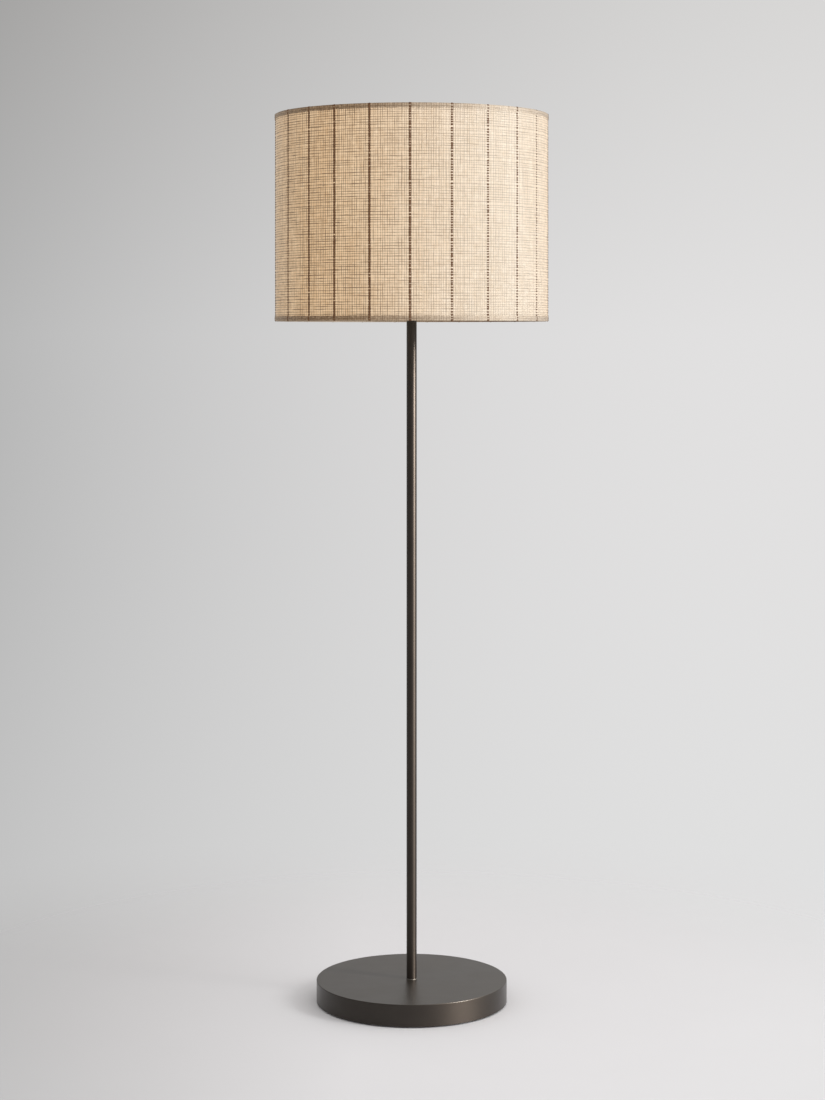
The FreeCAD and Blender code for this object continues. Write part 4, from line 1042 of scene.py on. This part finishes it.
@dataclass
class Shade(Assembly):
    """The drum: rings, spider, laminate backing, striped cloth with its lap at the back, and turned hems.

    Bearings go from the front towards the right, and warps are numbered from the back. A play is the spread
    of what chance adds, and a limit is the most of it.
    """

    nodes = {WHITE_WIRE: ("shade_top_ring", "shade_bottom_ring", "spider_hub", "spider_arms"),
             LAMINATE: ("shade_backing",)}
    body: str = "shade"
    upper_rim: float = 1650.0
    lower_rim: float = 1266.0
    radius: float = 254.0
    cloth_thick: float = 0.9
    edge_inset: float = 2.05
    hem_thick: float = 0.7
    hem_outer: float = 254.75
    hem_inner: float = 248.55
    hem_bend: float = 2.3
    hem_cover: float = 9.0
    hem_return: float = 8.0
    shown_stripes: tuple[float, ...] = (-61.9, -46.4, -32.7, -17.0, -0.6, 16.3, 32.3, 48.2, 63.4)
    hidden_stripes: int = 14
    hidden_span: tuple[float, float] = (83.5, 277.5)
    hidden_play: float = 0.4
    seed: int = 41
    warps_wanted: int = 368
    wefts: int = 82
    lap_width: float = 12.0
    lap_rise: float = 0.6
    lap_fall: float = 0.6
    warp_play: float = 0.13
    warp_limit: float = 0.25
    weft_play: float = 0.15
    weft_limit: float = 0.3
    pride_play: float = 0.035
    thick_pride: float = 0.16
    thick_warps: float = 0.06
    thick_wefts: float = 0.09
    gap_depth: float = 0.42
    gap_play: float = 0.04
    crown_depth: float = 0.05
    crown_rise: float = 0.2
    crown_play: float = 0.05
    skin_share: float = 0.62
    rib_height: float = 0.08
    rib_play: float = 0.03
    cord_height: float = 0.05
    cord_pitch: float = 2.3
    edge_play: float = 0.22
    weft_pitch: float = 4.7
    yarn_sides: int = 8
    yarn_half_thick: float = 0.42
    yarn_half_width: float = 1.62
    yarn_narrowing: float = 0.22
    yarn_play: float = 0.07
    sway_play: float = 0.12
    yarn_sink: float = 0.5
    yarn_rise: float = 0.6

    def __post_init__(self) -> None:
        """Lays out the yarns: where each warp and weft starts, and how proud each one is."""
        self.chance = np.random.default_rng(self.seed)
        self.bearings = self.stripe_bearings()
        self.warp_edges = self.spaced_warps()
        self.warp_middles = self.warp_edges + np.diff(self.warp_edges, append=self.warp_edges[0] + TURN) / 2
        self.warps = len(self.warp_edges)
        self.weft_edges = self.spaced_wefts()
        self.warp_pride = self.prides(self.warps, self.thick_warps)
        self.weft_pride = self.prides(self.wefts, self.thick_wefts)

    def stripe_bearings(self) -> Array:
        """Where the dark yarns stand: those in view as seen, and the hidden ones about evenly.

        Returns:
            Bearings in degrees, rising from the back over a whole turn.
        """
        hidden = self.hidden_stripes
        rest = np.linspace(*self.hidden_span, hidden) + self.chance.normal(0, self.hidden_play, hidden)
        return np.sort((np.concatenate([self.shown_stripes, rest]) + 180) % 360 - 180)

    def spaced_warps(self) -> Array:
        """Bearings of the gaps between warps, with each dark yarn in the middle of its warp.

        Between two dark yarns the warps are spaced evenly and then jogged a little.

        Returns:
            One bearing in radians for each warp's left edge.
        """
        pitch = 360 / self.warps_wanted
        turns = np.append(self.bearings, self.bearings[0] + 360)
        counts = np.rint(np.diff(turns) / pitch)
        first = round((self.bearings[0] + 180) / pitch) + 0.5
        middles = np.concatenate([[first - counts[-1]], first + np.append(0, np.cumsum(counts))])
        number = np.arange(int(counts.sum()))
        jog = self.chance.normal(0, self.warp_play, len(number)) * pitch
        even = np.interp(number, middles, np.append(self.bearings[-1] - 360, turns))
        return np.radians(even + np.clip(jog, -self.warp_limit, self.warp_limit))

    def spaced_wefts(self) -> Array:
        """Heights of the gaps between wefts, evenly spaced and then jogged a little.

        Returns:
            wefts + 1 heights.
        """
        even, step = np.linspace(self.lower_rim + self.edge_inset, self.upper_rim - self.edge_inset,
                                 self.wefts + 1, retstep=True)
        jog = self.chance.normal(0, self.weft_play, self.wefts + 1) * step
        jog[[0, -1]] = 0
        return even + np.clip(jog, -self.weft_limit * step, self.weft_limit * step)

    def prides(self, count: int, thick_share: float) -> Array:
        """How far each yarn stands out: a little at random, and more for a share of thick ones."""
        rise = self.chance.normal(0, self.pride_play, count)
        return rise + self.thick_pride * (self.chance.random(count) < thick_share)

    def lap(self, bearing: Array) -> Array:
        """Rise of the lap seam: from a cut edge it falls off over the lap's width, centred at the back.

        Args:
            bearing: bearings in radians.

        Returns:
            Rises.
        """
        share = (np.mod(bearing, TURN) - math.pi) * self.radius / self.lap_width + 0.5
        return self.lap_rise * np.where((share >= 0) & (share <= 1), 1 - self.lap_fall * share, 0.0)

    @staticmethod
    def place(radius: Array, bearing: Array, height: Array) -> Array:
        """Points from radius, bearing and height: (radius sin b, -radius cos b, height), in metres."""
        return np.stack([radius * np.sin(bearing), -radius * np.cos(bearing), height + 0 * radius], -1) * MM

    def cloth(self) -> Piece:
        """The woven wall: low points at gap crossings, raised ones on yarn crossings, and a plain inside.

        Each cell of the weave is four triangles from its low corners to its crown. Both are the drum's radius
        plus chance, and the crown's yarns add theirs. The wall turns plain where the hems cover it.

        Returns:
            The cloth.
        """
        warps, wefts, edges, heights = self.warps, self.wefts, self.warp_edges, self.weft_edges
        bare = np.minimum(heights - self.lower_rim, self.upper_rim - heights) - self.hem_cover
        shown = np.clip(bare / 3, 0, 1)[:, None]
        shown_mid = (shown[:-1] + shown[1:]) / 2
        dips = self.chance.normal(0, self.gap_play, (wefts + 1, warps))
        low = self.radius - self.gap_depth + dips + self.lap(edges) * shown
        rise = self.chance.normal(0, self.crown_play, (wefts, warps)) + self.warp_pride
        rise += self.weft_pride[:, None] + self.crown_rise + self.lap(self.warp_middles)
        high = self.radius - self.crown_depth + rise * shown_mid
        gaps = self.place(low, edges, heights[:, None])
        crowns = self.place(high, self.warp_middles, (heights[:-1] + heights[1:])[:, None] / 2)
        plain = np.full((2, warps), self.radius - self.cloth_thick)
        inside = self.place(plain, edges, heights[[0, -1], None])
        quads, rows, columns = net(wefts + 1, warps, False, True)
        crown = gaps.size // 3 + np.arange(wefts * warps)
        corners = np.stack([columns, rows], axis=-1)
        faces, places = [], []
        for pair in ([0, 1], [1, 2], [2, 3], [3, 0]):
            faces.append(np.column_stack([quads[:, pair], crown]))
            places.append(np.concatenate([corners[:, pair], corners[:, :1] + 0.5], axis=1))
        wall = np.arange(warps)
        base = (gaps.size + crowns.size) // 3
        bottom, top = (0, 0.0), (wefts * warps, wefts)
        in_low, in_high = (base, -0.3), (base + warps, wefts + 0.3)
        for (here, here_weft), (there, there_weft) in ((in_low, bottom), (top, in_high), (in_high, in_low)):
            after = (wall + 1) % warps
            quads = np.stack([here + wall, here + after, there + after, there + wall], axis=-1)
            spots = np.stack([np.stack([wall, wall + 1, wall + 1, wall], axis=-1),
                              np.tile([here_weft, here_weft, there_weft, there_weft], (warps, 1))], axis=-1)
            for half in ([0, 1, 2], [0, 2, 3]):
                faces.append(quads[:, half])
                places.append(spots[:, half])
        points = np.concatenate([part.reshape(-1, 3) for part in (gaps, crowns, inside)])
        return make_piece("striped_cloth", points, np.concatenate(faces), np.concatenate(places), crease=80)

    def hem_profile(self) -> Array:
        """Section of the turned hem over the upper rim, drawn with the rim at height zero.

        Returns:
            A closed loop of radii and heights.
        """
        out, inn, bend, thick = self.hem_outer, self.hem_inner, self.hem_bend, self.hem_thick
        left, right = (inn + bend, -bend), (out - bend, -bend)
        return np.concatenate([
            along((out, -self.hem_cover), (out, -bend), step=1.2)[:-1],
            arc(right, bend, 0, 90, 8),
            arc(left, bend, 90, 180, 8)[1:],
            along((inn, -bend), (inn, -self.hem_return), step=1.5)[1:],
            along((inn + thick, -self.hem_return), (inn + thick, -bend), step=2.5)[:-1],
            arc(left, bend - thick, 180, 90, 5),
            arc(right, bend - thick, 90, 0, 5)[1:],
            along((out - thick, -bend), (out - thick, -self.hem_cover), step=2.5)[1:],
        ])

    def hem(self, name: str, upper: bool) -> Piece:
        """A rim's hem: the section carried round the drum, with the warps' ribs and a wavy cut edge.

        Ribs are a cosine of the warp count and cords one of the run along the section, both away from its
        middle. The cut edge is chance plus a slow sine.

        Args:
            name: the piece's name.
            upper: whether it is the upper rim's.

        Returns:
            The hem.
        """
        profile = self.hem_profile()
        bearing = np.stack([self.warp_edges, self.warp_middles], axis=-1).ravel()
        steps = np.arange(len(bearing))
        run = np.append(0, np.cumsum(np.linalg.norm(np.diff(profile, axis=0), axis=1)))
        away = profile - ((self.hem_outer + self.hem_inner) / 2, -self.hem_bend)
        away[:, 1] = np.maximum(away[:, 1], 0)
        away /= np.maximum(np.linalg.norm(away, axis=1, keepdims=True), 1e-9)
        skin = np.arange(len(profile)) < int(len(profile) * self.skin_share)
        rib = -self.rib_height * np.cos(TURN * steps / 2) + self.chance.normal(0, self.rib_play, len(steps))
        cord = self.cord_height * np.cos(TURN * run / self.cord_pitch)
        push = skin[:, None] * (rib + cord[:, None])
        edge_wave = self.chance.normal(0, self.edge_play, len(steps)) + 0.2 * np.sin(steps * 0.21)
        at_edge = np.abs(profile[:, 1] + self.hem_cover) < 0.01
        on_face = profile[:, 0] > self.hem_outer - 0.01
        radius = profile[:, :1] + push * away[:, :1] + 0.4 * on_face[:, None] * self.lap(bearing)
        drop = profile[:, 1:] + push * away[:, 1:] + 0.9 * at_edge[:, None] * edge_wave
        points = self.place(radius, bearing, self.upper_rim + drop if upper else self.lower_rim - drop)
        faces, rows, columns = net(len(profile), len(steps), True, True)
        wefts = np.append(run, run[-1] + self.hem_thick) / self.weft_pitch
        wefts += self.wefts - 1.7 if upper else -2.0
        places = np.stack([columns / 2, wefts[rows]], axis=-1)
        return make_piece(name, points.reshape(-1, 3), faces, places, crease=70)

    def yarn_route(self) -> Array:
        """The way of a dark yarn: round the lower hem's bend, up the wall, and over the upper hem's.

        Returns:
            (n, 2) radii and heights.
        """
        out, bend, wall, join = self.hem_outer, self.hem_bend, self.radius + 0.1, -self.hem_cover + 0.3
        over = np.concatenate([
            along((wall, -self.hem_cover - 1.2), (out, join), step=0.8),
            along((out, join), (out, -bend), step=0.9)[1:],
            arc((out - bend, -bend), bend, 0, 80, 7)[1:],
        ])
        top = over + (0, self.upper_rim)
        bottom = over[::-1] * (1, -1) + (0, self.lower_rim)
        middle = along((wall, bottom[-1, 1]), (wall, top[0, 1]), step=1.15)[1:-1]
        return np.concatenate([bottom, middle, top])

    def stripe_yarns(self) -> Piece:
        """The dark warps: flattened tubes that go over and under the wefts, and run on over both hems.

        Each is an ellipse carried up the wall. Its lift is a cosine of the weft count plus a share that sets
        how much of the yarn shows, so it makes a line on some stripes and beads on others.

        Returns:
            All stripes as one piece.
        """
        route = self.yarn_route()
        tangent = np.gradient(route, axis=0)
        tangent /= np.linalg.norm(tangent, axis=1, keepdims=True)
        outward = np.stack([tangent[:, 1], -tangent[:, 0]], axis=-1)
        count = np.interp(route[:, 1], self.weft_edges, np.arange(self.wefts + 1))
        thick = np.full(len(route), self.yarn_half_thick)
        thick[[0, -1]] = 0.0
        sides = self.yarn_sides
        turn = np.linspace(0, TURN, sides, endpoint=False)
        net_faces, rows, columns = net(len(route), sides, False, True)
        points, faces, places = [], [], []
        for number, bearing in enumerate(np.radians(self.bearings)):
            shown = self.shown_share(math.degrees(bearing))
            lift = self.yarn_lift(count, shown)
            width = self.yarn_half_width + 0.5 * (0.95 - shown) + self.yarn_narrowing * np.cos(TURN * count)
            width = width + self.chance.normal(0, self.yarn_play, len(route))
            width = width * np.clip(0.75 + 0.5 * lift, 0.5, 1.1)
            width[[0, -1]] = 0.0
            sway = 0.25 * np.cumsum(self.chance.normal(0, self.sway_play, len(route)))
            sway -= np.linspace(sway[0], sway[-1], len(route))
            off = (self.yarn_rise * lift - self.yarn_sink)[:, None] + thick[:, None] * np.sin(turn)
            section = route[:, None, :] + outward[:, None, :] * off[:, :, None]
            side_step = (width[:, None] * np.cos(turn) + sway[:, None] * 0.6) / self.radius
            points.append(self.place(section[:, :, 0], bearing + side_step, section[:, :, 1]).reshape(-1, 3))
            faces.append(net_faces + number * len(route) * sides)
            places.append(np.stack([columns / sides, count[rows] + number * 7.0], axis=-1))
        return make_piece("stripe_yarns", *(np.concatenate(part) for part in (points, faces, places)))

    @staticmethod
    def shown_share(bearing: float) -> float:
        """Share of a dark yarn that lies on the face: long floats on the left, beads on the right.

        Args:
            bearing: the stripe's bearing in degrees.

        Returns:
            A share from 0 to 1.
        """
        if abs(bearing) > 75:
            return 0.6 + 0.3 * math.sin(bearing * 0.09) ** 2
        return float(np.interp(bearing, (-35, -17, 0, 16, 33, 64), (0.94, 0.88, 0.78, 0.6, 0.5, 0.44)))

    def yarn_lift(self, count: Array, shown: float) -> Array:
        """Lift of a dark yarn: a cosine of the weft count plus an offset, jogged for each weft.

        Args:
            count: weft counts along the yarn.
            shown: share of the yarn that shows.

        Returns:
            Lifts, over zero where the yarn lies on the face.
        """
        jog = self.chance.normal(0, 0.13, self.wefts + 2)
        fate = self.chance.random(self.wefts + 2)
        jog = jog + 0.6 * (fate < 0.12) - 0.35 * (fate > 0.93)
        phase = count + 0.12 * np.sin(count * 0.9)
        offset = 0.2 - math.cos(math.pi * shown)
        return np.clip(np.cos(TURN * phase) + offset + jog[np.floor(count).astype(int)], -0.8, 1.2)

    def build(self) -> list[Piece]:
        """Returns:
            The new pieces.
        """
        cloth = fit_out(self.cloth(), CLOTH, self.body, "linen", "shade_fabric")
        upper = fit_out(self.hem("hem_upper", True), SHADED_HEM_CLOTH, self.body, "hem", "shade_top_trim")
        lower = fit_out(self.hem("hem_lower", False), SHADED_HEM_CLOTH, self.body, "hem", "shade_bottom_trim")
        stripes = fit_out(self.stripe_yarns(), STRIPE, self.body, "linen")
        return [cloth, upper, lower, stripes]


class Finial(Assembly):
    """Washer and turned knob on top of the stud."""

    nodes = {BRASS: ("finial_washer",), BRONZE: ("finial",)}


# ---------------------------------------------------------------- studio
@dataclass(frozen=True)
class SoftLamp:
    """A rectangular area lamp, in metres and watts, that may light highlights only."""

    name: str
    place: Triple
    size: tuple[float, float]
    power: float
    colour: Triple
    gloss_only: bool = False

    def hang(self, aim: Triple) -> None:
        """Adds the lamp, unseen by the camera.

        Args:
            aim: what it points at.
        """
        data = bpy.data.lights.new(self.name, "AREA")
        data.shape = "RECTANGLE"
        data.size, data.size_y = self.size
        data.energy, data.color = self.power, self.colour
        lamp = bpy.data.objects.new(self.name, data)
        lamp.location = self.place
        way = np.array(aim) - self.place
        lamp.rotation_euler = (math.atan2(math.hypot(way[0], way[1]), -way[2]), 0.0,
                               math.atan2(way[1], way[0]) - math.pi / 2)
        lamp.visible_camera = False
        lamp.visible_diffuse = not self.gloss_only
        bpy.context.scene.collection.objects.link(lamp)


@dataclass
class Studio:
    """Pale floor that fades out, a soft lamp and a gloss lamp at the right front, and the camera.

    Sizes are in metres here. The backdrop has a power, a left and a right colour for each of its levels.
    """

    eye: Triple = (0.0016, -4.4417, 1.2429)
    lens: float = 78.007
    shift: float = -0.1965
    aim: Triple = (0.0, 0.0, 1.15)
    lamps: tuple[SoftLamp, ...] = (
        SoftLamp("key", (2.65, -1.42, 2.0), (1.0, 1.3), 26.0, (0.93, 0.97, 1.0)),
        SoftLamp("glint", (2.75, -1.12, 2.2), (0.55, 1.05), 500.0, (1.0, 0.96, 0.91), gloss_only=True),
    )
    floor_reach: float = 2.4
    floor_rings: int = 40
    floor_spokes: int = 96
    # painted shade: the floor's tone is darker on the left, away from the lamps
    floor_shade_left: Colour = tint(184, 184, 187)
    floor_lit_right: Colour = tint(221, 221, 225)
    floor_mottle: Colour = tint(160, 160, 160)
    floor_shade_turn: tuple[float, float] = (-0.85, -0.1)
    floor_fade: tuple[float, float] = (0.32, 1.5)
    backdrop_half: float = 0.172
    # painted shade: each level of the backdrop is darker on its left, and the upper level darker still
    backdrop: tuple[tuple[float, Colour, Colour], ...] = (
        (1.9, tint(184, 184, 184), tint(226, 225, 225)),
        (1.4, tint(165, 164, 163), tint(216, 215, 214)),
        (1.9, tint(195, 195, 195), tint(224, 224, 224)),
    )
    fill: Colour = (1.0, 0.97, 0.935, 1.0)
    fill_level: float = 0.9
    fill_lean: float = 0.35
    brighter_way: Triple = (0.643, -0.766, 0.0)

    def camera(self) -> None:
        """Places a level camera, shifted so that the lamp fills the frame, and makes it the scene's."""
        data = bpy.data.cameras.new("view")
        data.lens, data.sensor_width, data.shift_y, data.clip_end = self.lens, 36.0, self.shift, 60.0
        camera = bpy.data.objects.new("view", data)
        camera.location = self.eye
        camera.rotation_euler = (math.pi / 2, 0.0, 0.0)
        bpy.context.scene.collection.objects.link(camera)
        bpy.context.scene.camera = camera

    def floor(self) -> None:
        """Round floor of rings and spokes, painted darker to the left as shade, with a light mottle, and
        clear further off.
        """
        radius = np.linspace(0.0, self.floor_reach, self.floor_rings)[:, None]
        angle = np.linspace(0, TURN, self.floor_spokes, endpoint=False)
        points = np.stack([radius * np.cos(angle), radius * np.sin(angle), 0 * radius * angle], axis=-1)
        faces = net(self.floor_rings, self.floor_spokes, False, True)[0]
        floor = make_piece("floor", points.reshape(-1, 3), faces)
        material = bpy.data.materials.new("pale_floor")
        canvas = Canvas.over(material)
        place = canvas.here
        distance = canvas.add("VectorMath", {0: place}, operation="LENGTH").outputs["Value"]
        side = canvas.spread(canvas.split(place)[0], *self.floor_shade_turn)
        tone = canvas.blend(side, self.floor_shade_left, self.floor_lit_right)
        mottle = canvas.noise(place, 3.0, 3.0)
        tone = canvas.blend(canvas.spread(mottle, 0.3, 0.7, 0.0, 0.03), tone, self.floor_mottle)
        surface = canvas.add("BsdfPrincipled", {"Base Color": tone, "Roughness": 0.85})
        mix = canvas.add("MixShader", {0: canvas.spread(distance, *self.floor_fade, smooth=True),
                                       1: surface.outputs[0], 2: canvas.add("BsdfTransparent").outputs[0]})
        canvas.add("OutputMaterial", {"Surface": mix.outputs[0]})
        floor.data.materials.append(material)

    def surroundings(self) -> None:
        """World: a soft fill that leans to the right front, and what eyes, gloss and glass see.

        That is a backdrop painted darker to the left and up, as painted shade away from the lamps. At the
        level, above it and below it, its left and right colours are mixed by 1 - (1 - side) to a power.
        """
        world = bpy.data.worlds.new("surroundings")
        bpy.context.scene.world = world
        canvas = Canvas.over(world)
        direction = canvas.add("TexCoord").outputs["Generated"]
        across, _, rise = canvas.split(direction)
        side = canvas.spread(across, -self.backdrop_half, self.backdrop_half)
        left = canvas.math("SUBTRACT", 1.0, side)
        level, upper, lower = (
            canvas.blend(canvas.math("SUBTRACT", 1.0, canvas.math("POWER", left, power)), dark, light)
            for power, dark, light in self.backdrop)
        near = canvas.blend(canvas.spread(rise, -0.26, -0.02, smooth=True), lower, level)
        far = canvas.blend(canvas.spread(rise, 0.0, 0.136), near, upper)
        seen = canvas.add("Background", {"Color": far})
        lean = canvas.add("VectorMath", {0: direction, 1: self.brighter_way}, operation="DOT_PRODUCT")
        strength = canvas.scaled(lean.outputs["Value"], self.fill_lean, self.fill_level)
        fill = canvas.add("Background", {"Color": self.fill, "Strength": strength})
        ray = canvas.add("LightPath").outputs
        shown = canvas.math("MAXIMUM", ray["Is Camera Ray"], ray["Is Glossy Ray"])
        shown = canvas.math("MAXIMUM", shown, ray["Is Transmission Ray"])
        mix = canvas.add("MixShader", {0: shown, 1: fill.outputs[0], 2: seen.outputs[0]})
        canvas.add("OutputWorld", {"Surface": mix.outputs[0]})

    def build(self) -> None:
        """Sets up view, floor, surroundings and lamps."""
        bpy.context.scene.view_settings.view_transform = "Standard"
        self.camera()
        self.floor()
        self.surroundings()
        for lamp in self.lamps:
            lamp.hang(self.aim)


def main() -> None:
    """Builds and dresses each sub-assembly in order, then the studio."""
    logging.basicConfig(level=logging.INFO, format="%(message)s")
    for assembly in (Foot(), Column(), HarpCradle(), LampHolder(), Bulb(), Shade(), Finial()):
        made = assembly.build()
        assembly.dress()
        log.info("%s: %d new pieces", type(assembly).__name__, len(made))
    Studio().build()


if __name__ == "__main__":
    main()
